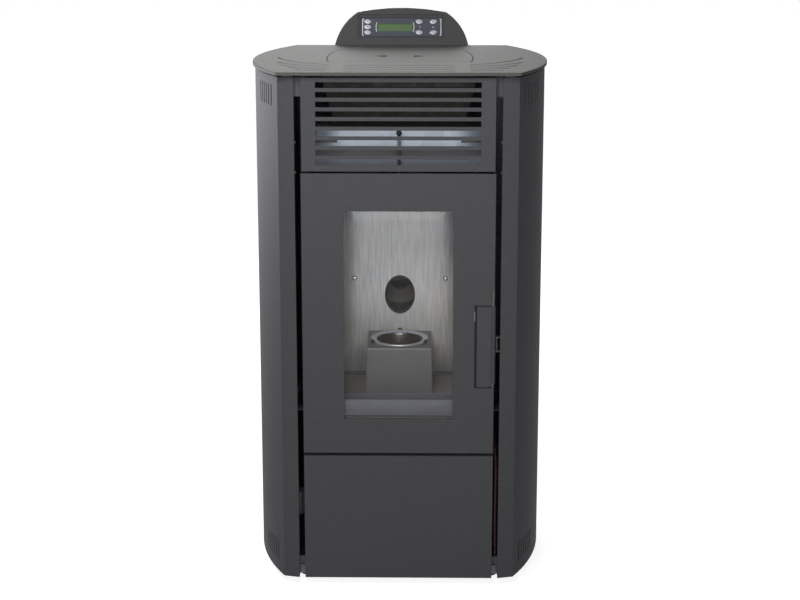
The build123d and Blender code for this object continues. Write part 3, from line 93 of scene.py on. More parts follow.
def noise(made, place, size, detail=3.0, roughness=0.6):
    """A cloud pattern between 0 and 1 whose patches are about size across, in metres."""
    sockets = {"Vector": place, "Scale": 1 / size, "Detail": detail, "Roughness": roughness}
    return add(made, "TexNoise", sockets).outputs["Fac"]


def blend_of(made, factor, low, high, start=0.3, end=0.7):
    """A colour between low and high as the factor goes from start to end."""
    ramp = add(made, "ValToRGB", {"Fac": factor})
    ramp.color_ramp.elements[0].position = start
    ramp.color_ramp.elements[1].position = end
    ramp.color_ramp.elements[0].color = (*low, 1)
    ramp.color_ramp.elements[1].color = (*high, 1)
    return ramp.outputs["Color"]


def multiply(made, first, second, share=1.0):
    """Two colours multiplied, the second one by its share."""
    sockets = {"Factor": share, 6: first, 7: second}
    return add(made, "Mix", sockets, data_type="RGBA", blend_type="MULTIPLY").outputs[2]


def bump(made, height, depth, strength=1.0):
    """Lifts the surface by the pattern times depth, in metres, in shading only."""
    sockets = {"Height": height, "Distance": depth, "Strength": strength}
    feed(made, "Normal", add(made, "Bump", sockets).outputs["Normal"])


def shade(colour, factor):
    """A colour made lighter or darker by a factor."""
    return tuple(min(1.0, c * factor) for c in colour)


def dress(made, *names):
    """Gives a material to CAD nodes, by their names."""
    for name in names:
        for slot in nodes[name].material_slots:
            slot.link = "OBJECT"
            slot.material = made


def galvanised(name, colour, spangle, roughness=0.42, metallic=0.6):
    """Zinc-coated sheet: crystals of slightly different tone, and a faint mill grain."""
    made = plain(name, colour, roughness, metallic)
    place = place_of(made)
    warp = add(made, "TexNoise", {"Vector": place, "Scale": 0.5 / spangle, "Detail": 2.0})
    bent = add(made, "VectorMath", {0: warp.outputs["Color"], "Scale": spangle}, operation="SCALE")
    moved = add(made, "VectorMath", {0: place, 1: bent.outputs["Vector"]}, operation="ADD")
    crystals = add(made, "TexVoronoi", {"Vector": moved.outputs["Vector"], "Scale": 1 / spangle})
    tone = add(made, "SeparateColor", {"Color": crystals.outputs["Color"]}).outputs["Red"]
    patches = blend_of(made, tone, shade(colour, 0.86), shade(colour, 1.1))
    dust = blend_of(made, noise(made, place, 0.06), (0.84, 0.84, 0.84), (1.0, 1.0, 1.0))
    feed(made, "Base Color", multiply(made, patches, dust))
    worn = add(made, "MapRange", {"Value": tone, 3: roughness - 0.08, 4: roughness + 0.08})
    feed(made, "Roughness", worn.outputs["Result"])
    bump(made, noise(made, place, 0.0015), 0.00002)
    return made


zinc_sheet = galvanised("zinc_sheet", ZINC, SPANGLE)
# Painted shade: tray and posts get the zinc at three tenths of its tone, for they stand in the casing's
# shadow.
dress(galvanised("zinc_with_painted_shade", shade(ZINC, 0.30), SPANGLE), "base_tray", "casing_posts")

# ---- Levelling feet -----------------------------------------------------------------------------
# Four adjustable feet: a ribbed rubber disc, a zinc hexagon to turn it by, and a threaded stud.
# The disc is moulded on the hexagon's flange, and the stud screws into a boss of the tray.

FOOT_NAMES = ("front_left", "front_right", "rear_left", "rear_right")
FOOT_STEPS = 72
FOOT_DISC_HEIGHT = 0.008
FOOT_HEX_HEIGHT = 0.003
FOOT_HEX_FLAT = 0.0065         # from the middle to a flat
FOOT_STUD = 0.004
FOOT_THREAD = 0.00125          # pitch
FOOT_THREAD_DEPTH = 0.0004
FOOT_RIBS = 36
FOOT_RIB = 0.00025             # a rib stands this far out, and the groove as far in
FOOT_DISC_PROFILE = (          # in from the rim, up from the sole, 1 where the ribs are
    (0.0022, 0.0, 0), (0.0008, 0.0006, 0), (0.0003, 0.0016, 1), (0.0003, 0.0052, 1),
    (0.0012, 0.0066, 0), (0.0045, 0.0074, 0),
)
AXIS_HOLE = 0.0001             # radius at which a turned shape closes at its axis


def grid_mesh(name, rows, closed=True, tones=None, finishes=()):
    """A mesh from a grid of points, one row of places after another. Rows close on themselves if
    closed. tones gives each band between two rows the number of its finish."""
    rows = np.asarray(rows, dtype=float)
    count, width = rows.shape[:2]
    index = np.arange(count * width).reshape(count, width)
    low, high = index[:-1], index[1:]
    if closed:
        low_next, high_next = np.roll(low, -1, axis=1), np.roll(high, -1, axis=1)
    else:
        low, low_next, high, high_next = low[:, :-1], low[:, 1:], high[:, :-1], high[:, 1:]
    faces = np.stack([low, low_next, high_next, high], axis=-1)
    made = bpy.data.meshes.new(name)
    made.from_pydata(rows.reshape(-1, 3).tolist(), [], faces.reshape(-1, 4).tolist())
    made.polygons.foreach_set("use_smooth", np.ones(len(made.polygons), dtype=bool))
    for finish in finishes:
        made.materials.append(finish)
    if tones is not None:
        made.polygons.foreach_set("material_index", np.repeat(tones, faces.shape[1]).astype(np.int32))
    made.update()
    return made


def piece(name, mesh, body, slot_name, *stands_for):
    """Puts a mesh in the scene as a piece that rides on a body and stands for CAD nodes."""
    made = bpy.data.objects.new(name, mesh)
    scene.collection.objects.link(made)
    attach(made, body)
    if stands_for:
        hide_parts(*stands_for)
    return made


def foot_rows(centre, low, top):
    """The foot from its sole up. The disc is round with ribs, radius R + 0.25 mm cos 36 a near its
    rim, the hexagon has radius flat / cos(a mod 60 - 30 degrees), and the stud's thread
    has radius r - 0.4 mm |2 t - 1| with t the fraction of z / pitch - a / 360 degrees."""
    angle = np.linspace(0, 2 * np.pi, FOOT_STEPS, endpoint=False)
    unit = np.stack([np.cos(angle), np.sin(angle)], axis=-1)
    rim = (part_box("foot_front_left")[1].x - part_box("foot_front_left")[0].x) / 2
    rows, tones = [], []

    def ring(radius, z, tone):
        spread = unit * np.broadcast_to(radius, angle.shape)[:, None]
        level = np.full_like(angle, z)
        rows.append(np.column_stack([centre[0] + spread[:, 0], centre[1] + spread[:, 1], level]))
        tones.append(tone)

    ribs = FOOT_RIB * np.cos(FOOT_RIBS * angle)
    disc_top = low + FOOT_DISC_HEIGHT
    ring(AXIS_HOLE, low, 0)
    for inset, height, ribbed in FOOT_DISC_PROFILE:
        ring(rim - inset + ribbed * ribs, low + height, 0)
    ring(0.0105, disc_top, 0)
    ring(0.0085, disc_top, 1)
    flat = FOOT_HEX_FLAT / np.cos(np.mod(angle, np.pi / 3) - np.pi / 6)
    ring(flat, disc_top + 0.0001, 1)
    ring(flat, disc_top + FOOT_HEX_HEIGHT - 0.0005, 1)
    ring(np.minimum(flat, FOOT_HEX_FLAT + 0.0003), disc_top + FOOT_HEX_HEIGHT, 1)
    for z in np.arange(disc_top + FOOT_HEX_HEIGHT, top, FOOT_THREAD / 6):
        turn = np.mod(z / FOOT_THREAD - angle / (2 * np.pi), 1.0)
        ring(FOOT_STUD - FOOT_THREAD_DEPTH * np.abs(2 * turn - 1), z, 1)
    ring(AXIS_HOLE, top, 1)
    return rows, tones[:-1]


rubber = plain("foot_rubber", (0.028, 0.028, 0.029), 0.75, specular=0.3)
rubber_place = place_of(rubber)
rubber_tone = noise(rubber, rubber_place, 0.004)
feed(rubber, "Base Color", blend_of(rubber, rubber_tone, (0.022, 0.022, 0.023), (0.040, 0.039, 0.038)))
bump(rubber, noise(rubber, rubber_place, 0.0006), 0.00005)
for foot_name in FOOT_NAMES:
    foot_low, foot_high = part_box("foot_" + foot_name)
    foot_centre = (foot_low + foot_high) / 2
    foot_grid, foot_tones = foot_rows(foot_centre, foot_low.z, foot_high.z)
    foot_mesh = grid_mesh("turned_foot_" + foot_name, foot_grid, True, foot_tones, (rubber, zinc_sheet))
    piece("turned_foot_" + foot_name, foot_mesh, "levelling_foot_" + foot_name, "foot_rubber",
          "foot_" + foot_name)

# ---- Rolled side panels -------------------------------------------------------------------------
# Each side is one rolled steel sheet with a folded front strip and six vent slots above and below.
# It is powder coated in charcoal grey with a fine sandy texture.

CHARCOAL = (0.076, 0.077, 0.083)


def powder_coat(name, colour, roughness=0.70, grain=0.0011, depth=0.00018):
    """Fine-texture powder coat: sandy grains, and a faint cloud where the powder lay thicker."""
    made = plain(name, colour, roughness, specular=0.10)
    place = place_of(made)
    grains = noise(made, place, grain, 2.0, 0.7)
    speck = blend_of(made, grains, shade(colour, 0.80), shade(colour, 1.20))
    cloud = blend_of(made, noise(made, place, 0.012, 4.0), (0.93, 0.93, 0.93), (1.0, 1.0, 1.0))
    feed(made, "Base Color", multiply(made, speck, cloud))
    sheen = add(made, "MapRange", {"Value": grains, 3: roughness - 0.07, 4: roughness + 0.09})
    feed(made, "Roughness", sheen.outputs["Result"])
    bump(made, grains, depth)
    return made


charcoal_side = powder_coat("charcoal_side", CHARCOAL)
dress(charcoal_side, "side_panel_left", "side_panel_right")

# ---- Rear panel ---------------------------------------------------------------------------------
# A flat powder-coated sheet with louvres for the room fan's air, cut-outs for the pipes and the
# mains inlet, and a row of pan-head screws down each edge that hold it to the side panels' flanges.

REAR_SCREW = 0.0042            # radius of the head
REAR_SCREW_DOME = 0.0022
REAR_SCREW_ROWS = 7
REAR_SCREW_INSET = 0.009       # from the panel's side edge
REAR_SCREW_MARGIN = 0.022      # from its top and bottom
FIRST_TURN, NEXT_TURN = 0.4, 0.83      # radians that the heads' crosses are turned by
CROSS_HALF = 0.13              # half the cross's width, as a share of the head's radius
CROSS_REACH = 0.62             # and how far out it reaches
CROSS_DEPTH = 0.45             # its depth, as a share of the dome
HEAD_RIM = 0.0002              # the rim stands this far above the sheet


def screw_head(centre, radius, dome, normal, across, turn=0.0):
    """A pan head: height dome (1 - t^4) at t radii from the middle, less the same depth all over the
    arms of a cross. The rim drops straight to the sheet, and ends as far under its surface."""
    share = np.array([0.0, 0.1, 0.18, 0.27, 0.36, 0.45, 0.53, 0.6, 0.7, 0.8, 0.9, 0.97, 1.0, 1.0])
    angle = np.linspace(0, 2 * np.pi, 48, endpoint=False) + turn
    plane = share[:, None] * radius
    x = plane * np.cos(angle)[None, :]
    y = plane * np.sin(angle)[None, :]
    height = np.broadcast_to((dome * (1 - share ** 4))[:, None] + HEAD_RIM, x.shape).copy()
    cross_x = x * math.cos(turn) + y * math.sin(turn)
    cross_y = y * math.cos(turn) - x * math.sin(turn)
    slot = np.minimum(np.abs(cross_x), np.abs(cross_y)) < CROSS_HALF * radius
    slot &= share[:, None] < CROSS_REACH
    height[slot] -= CROSS_DEPTH * dome
    height[-1] = -HEAD_RIM
    normal, across = np.array(normal, dtype=float), np.array(across, dtype=float)
    up = np.cross(normal, across)
    flat = np.array(centre)[None, None] + x[..., None] * across + y[..., None] * up
    return flat + height[..., None] * normal


def joined(name, grids, finish, closed=True):
    """One mesh from several grids of points that share a finish."""
    points, faces, start = [], [], 0
    for grid in grids:
        part = grid_mesh("part", grid, closed)
        count = len(part.vertices)
        places = np.empty(count * 3)
        part.vertices.foreach_get("co", places)
        corners = np.empty(len(part.polygons) * 4, dtype=np.int32)
        part.polygons.foreach_get("vertices", corners)
        points.append(places.reshape(-1, 3))
        faces.append(corners.reshape(-1, 4) + start)
        start += count
        bpy.data.meshes.remove(part)
    made = bpy.data.meshes.new(name)
    made.from_pydata(np.concatenate(points).tolist(), [], np.concatenate(faces).tolist())
    made.polygons.foreach_set("use_smooth", np.ones(len(made.polygons), dtype=bool))
    made.materials.append(finish)
    made.update()
    return made


dress(powder_coat("charcoal_rear", shade(CHARCOAL, 0.92)), "rear_panel")
rear_low, rear_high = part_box("rear_panel")
screw_steel = galvanised("screw_steel", (0.42, 0.43, 0.45), 0.004, 0.32, 0.9)
rear_heads = []
for side in (-1, 1):
    for row in range(REAR_SCREW_ROWS):
        screw_z = rear_low.z + REAR_SCREW_MARGIN
        screw_z += row * (rear_high.z - rear_low.z - 2 * REAR_SCREW_MARGIN) / (REAR_SCREW_ROWS - 1)
        screw_x = side * (rear_high.x - REAR_SCREW_INSET)
        head = screw_head((screw_x, rear_high.y, screw_z), REAR_SCREW, REAR_SCREW_DOME,
                          (0, 1, 0), (-1, 0, 0), FIRST_TURN + NEXT_TURN * row + side)
        rear_heads.append(head)
piece("rear_panel_screws", joined("rear_panel_screws", rear_heads, screw_steel), "stove", "bright_steel")

# ---- Firebox shell and brushed back plate -------------------------------------------------------
# The firebox is welded from steel sheet and painted with heat-proof paint that has dulled. One
# bright steel plate, brushed upright, lines its rear wall. It has an oval hole where the pellet
# chute ends, and two screws hold it.

FIREBOX_PAINT = (0.200, 0.184, 0.172)
LINING_WARM = (0.66, 0.642, 0.625)
LINING_COOL = (0.61, 0.628, 0.652)
LINING_LOW_SHADE = (0.70, 0.69, 0.675)      # share of the tone left beside the burner, as painted shade
LINING_SHADE_TOP = 0.08                 # above the plate's foot, where the painted shade is full
LINING_FOLD = 0.0075                   # height of the darkened edge above the floor
SCREW_ZINC = (0.80, 0.79, 0.77)
SCREW_DOME = 0.0036                    # height of the heads
SCREW_LIFT = 0.007                     # the heads stand this far above the solid's screws
SCREW_TURN = 0.5                       # radians that each head's cross is turned by


def brushed(name, low, high, grain=(0.003, 0.003, 0.06), metallic=0.7, roughness=0.4, cloud=0.05,
            depth=0.00003, streak_low=0.72):
    """Brushed sheet: fine streaks along the grain, over slow patches between two tones."""
    made = plain(name, low, roughness, metallic)
    stretched = place_of(made, tuple(1 / g for g in grain))
    streak = noise(made, stretched, 1.0, 2.0, 0.6)
    patches = blend_of(made, noise(made, place_of(made), cloud, 4.0, 0.65), low, high)
    lines = blend_of(made, streak, (streak_low,) * 3, (1.0, 1.0, 1.0))
    feed(made, "Base Color", multiply(made, patches, lines))
    rub = add(made, "MapRange", {"Value": streak, 3: roughness - 0.08, 4: roughness + 0.1})
    feed(made, "Roughness", rub.outputs["Result"])
    bump(made, streak, depth)
    return made


def along_axis(made, axis):
    """The place along one object axis, in metres."""
    return add(made, "SeparateXYZ", {"Vector": add(made, "TexCoord", {}).outputs["Object"]}).outputs[axis]


def band(made, axis, low, high, soft):
    """1 between two places along an object axis, in metres, falling to 0 over a soft edge."""
    along = along_axis(made, axis)
    rise = add(made, "MapRange", {"Value": along, 1: low - soft, 2: low, 3: 0.0, 4: 1.0})
    fall = add(made, "MapRange", {"Value": along, 1: high, 2: high + soft, 3: 1.0, 4: 0.0})
    both = add(made, "Math", {0: rise.outputs["Result"], 1: fall.outputs["Result"]}, operation="MULTIPLY")
    return both.outputs[0]


def colour_before(made):
    """What is linked to the Principled shader's colour so far."""
    return made.node_tree.nodes["Principled BSDF"].inputs["Base Color"].links[0].from_socket


def repaint(made, mask, colour):
    """Lays another tone over the material's colour where the mask is 1."""
    sockets = {"Factor": mask, 6: colour_before(made), 7: (*colour, 1)}
    feed(made, "Base Color", add(made, "Mix", sockets, data_type="RGBA").outputs[2])


def tint(made, mask, share):
    """Multiplies the material's colour by a share where the mask is 1."""
    feed(made, "Base Color", multiply(made, colour_before(made), (*share, 1), mask))


CHUTE_HOLE_SHADE = (0.052, 0.047, 0.042)
CHUTE_OVAL = (0.0285, 0.0375)          # half width and half height of the chute's hole
CHUTE_BELOW_TOP = 0.2405               # from the plate's top to the middle of the hole
PLATE_RINGS = (0.0, 0.004, 0.012, 0.05, 0.2, 0.5, 1.0)


def holed_plate(low, high, middle_z, half_x, half_z):
    """A sheet round an oval hole: each row is the oval, widened by a share of the way out to the
    sheet's edge along the same ray. The rows run out over one face and back over the other, and
    the last one is the first again, which closes the wall of the hole."""
    angle = np.linspace(0, 2 * np.pi, 192, endpoint=False)
    ends = [(x, z) for x in (low.x, high.x) for z in (low.z, high.z)]
    corners = [math.atan2(z - middle_z, x) % (2 * math.pi) for x, z in ends]
    for corner in corners:
        angle[np.argmin(np.abs(angle - corner))] = corner
    way_x, way_z = np.cos(angle), np.sin(angle)
    hole = 1 / np.hypot(way_x / half_x, way_z / half_z)
    reach_x = np.where(way_x > 0, high.x, -low.x) / np.maximum(np.abs(way_x), 1e-9)
    reach_z = np.where(way_z > 0, high.z - middle_z, middle_z - low.z) / np.maximum(np.abs(way_z), 1e-9)
    edge = np.minimum(reach_x, reach_z)
    rows = []
    for y, shares in ((low.y, PLATE_RINGS), (high.y, PLATE_RINGS[::-1])):
        for share in shares:
            radius = hole + (edge - hole) * share
            rows.append(np.column_stack([radius * way_x, np.full_like(angle, y), middle_z + radius * way_z]))
    rows.append(rows[0])
    return np.array(rows)[::-1]


plate_low, plate_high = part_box("back_plate")
firebox_paint = powder_coat("firebox_paint", FIREBOX_PAINT, 0.6, 0.0015, 0.00008)
# Painted shade: the shell behind the plate, seen only through the chute's hole, is painted near black.
shade_behind_plate = band(firebox_paint, 1, plate_high.y - 0.0002, plate_high.y + 0.2, 0.0002)
repaint(firebox_paint, shade_behind_plate, CHUTE_HOLE_SHADE)
dress(firebox_paint, "firebox_shell")
screws_low, screws_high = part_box("back_plate_screws")
lining = brushed("brushed_lining", LINING_WARM, LINING_COOL, (0.0034, 0.0034, 0.055), 0.22, 0.42, 0.11,
                 0.0, 0.66)
lining_height = along_axis(lining, 2)
# Painted shade: the plate grows darker from the screws down towards its foot.
low_shade = add(lining, "MapRange", {"Value": lining_height, 1: screws_low.z, 2: plate_low.z + LINING_SHADE_TOP,
                                3: 0.0, 4: 1.0}, interpolation_type="SMOOTHSTEP")
tint(lining, low_shade.outputs["Result"], LINING_LOW_SHADE)
repaint(lining, band(lining, 2, plate_low.z - 0.01, plate_low.z + LINING_FOLD, 0.0005), FIREBOX_PAINT)
oval_rows = holed_plate(plate_low, plate_high, plate_high.z - CHUTE_BELOW_TOP, *CHUTE_OVAL)
piece("oval_back_plate", grid_mesh("oval_back_plate", oval_rows, True, None, (lining,)), "stove",
      "brushed_lining", "back_plate")

screw_zinc = brushed("screw_zinc", SCREW_ZINC, shade(SCREW_ZINC, 0.8), (0.002, 0.002, 0.002), 0.9, 0.22)
screw_radius = (screws_high.z - screws_low.z) / 2
screw_z = (screws_low.z + screws_high.z) / 2 + SCREW_LIFT
lining_heads = []
for side in (-1, 1):
    screw_x = side * (screws_high.x - screw_radius)
    head = screw_head((screw_x, plate_low.y, screw_z), screw_radius, SCREW_DOME,
                      (0, -1, 0), (1, 0, 0), SCREW_TURN * side)
    lining_heads.append(head)
piece("lining_screws", joined("lining_screws", lining_heads, screw_zinc), "stove", "bright_steel",
      "back_plate_screws")
bright_steel = brushed("bright_steel", (0.50, 0.50, 0.51), (0.44, 0.44, 0.46), metallic=1.0, roughness=0.3)
dress(bright_steel, "igniter")

# ---- Ash pan ------------------------------------------------------------------------------------
# A shallow pan of steel sheet that lies in front of the burner box, with a folded front lip. Its
# bluish tone is partly painted reflection, and below the lip its front is painted dark as shade.

PAN_STEEL_AND_REFLECTION = (0.165, 0.170, 0.205)
PAN_PAINTED_SHADE = (0.040, 0.046, 0.060)
PAN_SHADE_DEPTH = 0.030                       # depth below the lip's top where the painted shade begins

pan_low, pan_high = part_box("ash_pan")
pan_sheet = brushed("pan_sheet", PAN_STEEL_AND_REFLECTION, shade(PAN_STEEL_AND_REFLECTION, 0.86), (0.05, 0.004, 0.004), 0.1, 0.45, 0.05, 0.0)
# Painted shade on the pan's front below the lip's top.
repaint(pan_sheet, band(pan_sheet, 2, pan_low.z - 0.01, pan_high.z - PAN_SHADE_DEPTH, 0.001), PAN_PAINTED_SHADE)
dress(pan_sheet, "ash_pan")

# ---- Burner box ---------------------------------------------------------------------------------
# A box folded from steel sheet that heat has darkened. Three dark lugs on its lid centre the pot.

BURNER_SHEET = (0.108, 0.106, 0.110)
BURNER_EDGE = (0.24, 0.24, 0.25)
BURNER_SEAM = (0.020, 0.018, 0.018)
LUG_DARK = (0.030, 0.027, 0.025)
LID_TURN = 0.0022                      # height of the dark seam under the lid
RING_HEIGHT = 0.003                    # the pot's ring stands this far above the lid

pot_low, pot_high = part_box("burn_pot")
lid_top = pot_high.z - RING_HEIGHT
burner_sheet = brushed("burner_sheet", BURNER_SHEET, shade(BURNER_SHEET, 0.9), (0.006, 0.006, 0.05),
                       0.15, 0.5, 0.04, 0.0, 0.86)
repaint(burner_sheet, band(burner_sheet, 2, lid_top - 2 * LID_TURN, lid_top - LID_TURN, 0.0003), BURNER_EDGE)
repaint(burner_sheet, band(burner_sheet, 2, lid_top - LID_TURN, lid_top - 0.0004, 0.0003), BURNER_SEAM)
repaint(burner_sheet, band(burner_sheet, 2, lid_top + 0.0004, lid_top + 0.02, 0.0003), LUG_DARK)
dress(burner_sheet, "burner_box")

# ---- Burn pot -----------------------------------------------------------------------------------
# A cast cup with a turned ring that rests in the burner box's lid. The ring has a rounded rim and a
# bare cone that leads the pellets in, and the cup is browned by heat.

POT_STEPS = 144
POT_RIM = 0.0011               # radius of the rounded rim
POT_MOUTH = 0.0420
POT_BASE = 0.0350
POT_WALL = 0.0025
POT_BRIGHT = (0.74, 0.74, 0.75)
POT_CONE = (0.50, 0.54, 0.61)
POT_BROWN = (0.150, 0.132, 0.118)


def pot_rows(centre, low, high):
    """The pot as a profile of radius and height turned about its upright axis: the cup's outside
    from the base up, the ring's underside, the rim as an arc of radius POT_RIM, the cone down to
    the mouth, the inside wall r = base + (mouth - base) t at t of the way up, and the floor."""
    outer = (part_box("burn_pot")[1].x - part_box("burn_pot")[0].x) / 2
    seat = high - RING_HEIGHT
    profile = [(AXIS_HOLE, low, 0), (POT_BASE * 0.6, low, 0), (POT_BASE + POT_WALL - 0.001, low, 0),
               (POT_BASE + POT_WALL, low + 0.001, 0), (POT_MOUTH + POT_WALL, seat - 0.0004, 0),
               (POT_MOUTH + POT_WALL + 0.0005, seat, 1), (outer - 0.0005, seat, 1), (outer, seat + 0.0004, 1)]
    for turn in np.radians(np.linspace(0, 150, 7)):
        rim_out = POT_RIM * math.cos(turn)
        rim_up = POT_RIM * math.sin(turn)
        profile.append((outer - POT_RIM + rim_out, high - POT_RIM + rim_up, 1))
    profile.append((outer - 2.6 * POT_RIM, high - 1.3 * POT_RIM, 2))
    profile.append((POT_MOUTH + 0.0012, seat + 0.0009, 2))
    profile.append((POT_MOUTH + 0.0003, seat + 0.0004, 3))
    profile.append((POT_MOUTH, seat - 0.0008, 3))
    floor_z = low + POT_WALL
    for share in np.linspace(0.92, 0.04, 12):
        profile.append((POT_BASE + (POT_MOUTH - POT_BASE) * share, floor_z + (seat - floor_z) * share, 3))
    profile += [(POT_BASE - 0.002, floor_z, 3), (POT_BASE * 0.5, floor_z, 3), (AXIS_HOLE, floor_z, 3)]
    profile = np.array(profile)
    angle = np.linspace(0, 2 * np.pi, POT_STEPS, endpoint=False)
    x = centre.x + profile[:, 0, None] * np.cos(angle)
    y = centre.y + profile[:, 0, None] * np.sin(angle)
    z = np.broadcast_to(profile[:, 1, None], x.shape)
    return np.stack([x, y, z], axis=-1), profile[1:, 2].astype(int)


pot_brown = brushed("pot_brown", POT_BROWN, shade(POT_BROWN, 0.8), (0.02, 0.02, 0.004),
                    0.75, 0.24, 0.02, 0.0)
pot_under = brushed("pot_under", shade(POT_BROWN, 0.7), shade(POT_BROWN, 0.5), (0.01, 0.01, 0.01), 0.3, 0.5)
pot_bright = brushed("pot_bright", POT_BRIGHT, shade(POT_BRIGHT, 0.9), (0.02, 0.02, 0.001),
                     0.55, 0.22, 0.02, 0.0)
pot_cone = brushed("pot_cone", POT_CONE, shade(POT_CONE, 0.85), (0.004, 0.004, 0.004), 0.35, 0.3, 0.012, 0.0)
pot_middle = (pot_low + pot_high) / 2
pot_grid, pot_tones = pot_rows(pot_middle, pot_low.z, pot_high.z)
pot_finishes = (pot_under, pot_bright, pot_cone, pot_brown)
pot_mesh = grid_mesh("turned_burn_pot", pot_grid, True, pot_tones, pot_finishes)
piece("turned_burn_pot", pot_mesh, "pot", "burn_pot_iron", "burn_pot")

# ---- Heat exchanger -----------------------------------------------------------------------------
# Six steel tubes over the firebox warm the room air behind the grille. A hood folded from bright
# sheet leads the air forward. Its bluish white face is partly the zinc's tone and partly a painted
# reflection, a pool of light that fades to painted shade at the ends. Its roof, recess and sill carry
# painted shade, and its ports are painted on as dark shade. An upright rod with a knob moves a
# scraper plate inside, and the rod is painted dark below the face as shade.

# The face's tone is partly the zinc's own and partly painted reflection.
HOOD_ZINC_AND_REFLECTION = (0.56, 0.62, 0.72)
HOOD_ROOF_SHADE = (0.016, 0.015, 0.015)
HOOD_RECESS_SHADE = (0.085, 0.083, 0.086)
HOOD_SILL_SHADE = (0.16, 0.18, 0.22)
HOOD_PORT_SHADE = (0.020, 0.019, 0.022)
HOOD_PAINTED_FALLOFF = (0.28, 0.30, 0.33)         # share of the tone left at the ends, as painted shade
HOOD_LIT_HALF = 0.100                    # half width of the painted pool of light
HOOD_FADE = 0.03                       # width over which the painted light fades
HOOD_HALF = 0.149
HOOD_TOP = 0.0035                      # above the solid's top
HOOD_BEND = 0.002                      # the face's upper edge is rounded over this height
HOOD_FACE = 0.0395                     # height of the bright face
HOOD_SILL_TOP = 0.0570                 # the sill's edges, below the hood's top
HOOD_SILL_FOOT = 0.0690
HOOD_RECESS = 0.010                    # depth of the recess between face and sill
HOOD_FOLD = 0.012                      # the sheet turns back by this at its foot and ends
HOOD_AHEAD = 0.012                     # the face stands this far in front of the tubes
PORT_X, PORT_Z, PORT_HALF = 0.110, 0.0225, 0.0050      # inner end, below the top, half height
TUBE_STEEL = (0.050, 0.047, 0.047)
SCRAPER_STEEL = (0.24, 0.25, 0.28)
SCRAPER_PAINTED_SHADE = (0.06, 0.055, 0.05)     # painted shade on the rod below the hood's face
KNOB_BLACK = (0.020, 0.020, 0.021)
KNOB_HEIGHT = 0.010

hood_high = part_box("air_hood")[1]
hood_top = hood_high.z + HOOD_TOP
face_foot = hood_top - HOOD_FACE
sill_top = hood_top - HOOD_SILL_TOP
sill_foot = hood_top - HOOD_SILL_FOOT


def hood_rows(front, back):
    """The hood's folded sheet as a profile of depth and height, drawn out along the stove's width:
    roof, bright face, a recess and a low sill. Its foot and ends turn back by the sheet's fold."""
    corner = 0.3 * HOOD_BEND
    profile = [(back, hood_top), (front + HOOD_BEND, hood_top), (front + corner, hood_top - corner),
               (front, hood_top - HOOD_BEND), (front, face_foot), (front + HOOD_RECESS, face_foot),
               (front + HOOD_RECESS, sill_top), (front, sill_top), (front, sill_foot),
               (front + HOOD_FOLD, sill_foot)]
    across = np.array([-HOOD_HALF, -HOOD_HALF, -HOOD_LIT_HALF, 0.0, HOOD_LIT_HALF, HOOD_HALF, HOOD_HALF])
    rows = np.array([[(x, y, z) for x in across] for y, z in profile])
    rows[:, 0, 1] += HOOD_FOLD
    rows[:, -1, 1] += HOOD_FOLD
    return rows


hood_sheet = galvanised("hood_sheet", HOOD_ZINC_AND_REFLECTION, 0.030, 0.42, 0.2)
# Painted light: the face is brightest in the middle and fades to painted shade at the ends.
hood_side = add(hood_sheet, "Math", {0: along_axis(hood_sheet, 0)}, operation="ABSOLUTE").outputs[0]
hood_falloff_shade = add(hood_sheet, "MapRange", {"Value": hood_side, 1: HOOD_LIT_HALF, 2: HOOD_LIT_HALF + HOOD_FADE})
tint(hood_sheet, hood_falloff_shade.outputs["Result"], HOOD_PAINTED_FALLOFF)
# The ports are not cut: dark painted shade stands for them.
port_height = band(hood_sheet, 2, hood_top - PORT_Z - PORT_HALF, hood_top - PORT_Z + PORT_HALF, 0.0004)
port_width = add(hood_sheet, "MapRange", {"Value": hood_side, 1: PORT_X, 2: PORT_X + 0.001}).outputs["Result"]
port_shade = add(hood_sheet, "Math", {0: port_height, 1: port_width}, operation="MULTIPLY").outputs[0]
repaint(hood_sheet, port_shade, HOOD_PORT_SHADE)
# Painted shade: the roof near black, the recess dim and the sill darker than the face.
repaint(hood_sheet, band(hood_sheet, 2, hood_top - 0.0003, hood_top + 0.01, 0.0002), HOOD_ROOF_SHADE)
repaint(hood_sheet, band(hood_sheet, 2, sill_top, face_foot - 0.0004, 0.0004), HOOD_RECESS_SHADE)
repaint(hood_sheet, band(hood_sheet, 2, sill_foot - 0.01, sill_top, 0.0004), HOOD_SILL_SHADE)
hood_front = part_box("heat_tubes")[0].y - HOOD_AHEAD
hood_mesh = grid_mesh("folded_hood", hood_rows(hood_front, hood_high.y), False, None, (hood_sheet,))
hood_mesh.shade_flat()
piece("folded_hood", hood_mesh, "stove", "galvanised_sheet", "air_hood")
dress(brushed("tube_steel", TUBE_STEEL, (0.040, 0.038, 0.038), (0.003, 0.02, 0.003), 0.4),
      "heat_tubes")
scraper_low, scraper_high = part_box("tube_scraper")
scraper_steel = brushed("scraper_steel", SCRAPER_STEEL, (0.21, 0.22, 0.25), metallic=0.3)
knob = band(scraper_steel, 2, scraper_high.z - KNOB_HEIGHT, scraper_high.z, 0.0003)
repaint(scraper_steel, knob, KNOB_BLACK)
# Painted shade: the rod is dark below the hood's face.
repaint(scraper_steel, band(scraper_steel, 2, scraper_low.z - 0.01, face_foot, 0.001), SCRAPER_PAINTED_SHADE)
dress(scraper_steel, "tube_scraper")

# ---- Hopper, feed tube and auger ----------------------------------------------------------------
# The pellet bin is folded galvanised sheet, darkened all over as painted shade, with its front wall
# painted darker still. A steel screw turns in the inclined tube under it, driven by a small
# gearmotor.

BIN_PAINTED_SHADE = (0.060, 0.058, 0.056)
BIN_FRONT_SHADE = (0.021, 0.019, 0.018)
CHUTE_STEEL = (0.105, 0.098, 0.090)
CHUTE_WORN = (0.092, 0.086, 0.080)

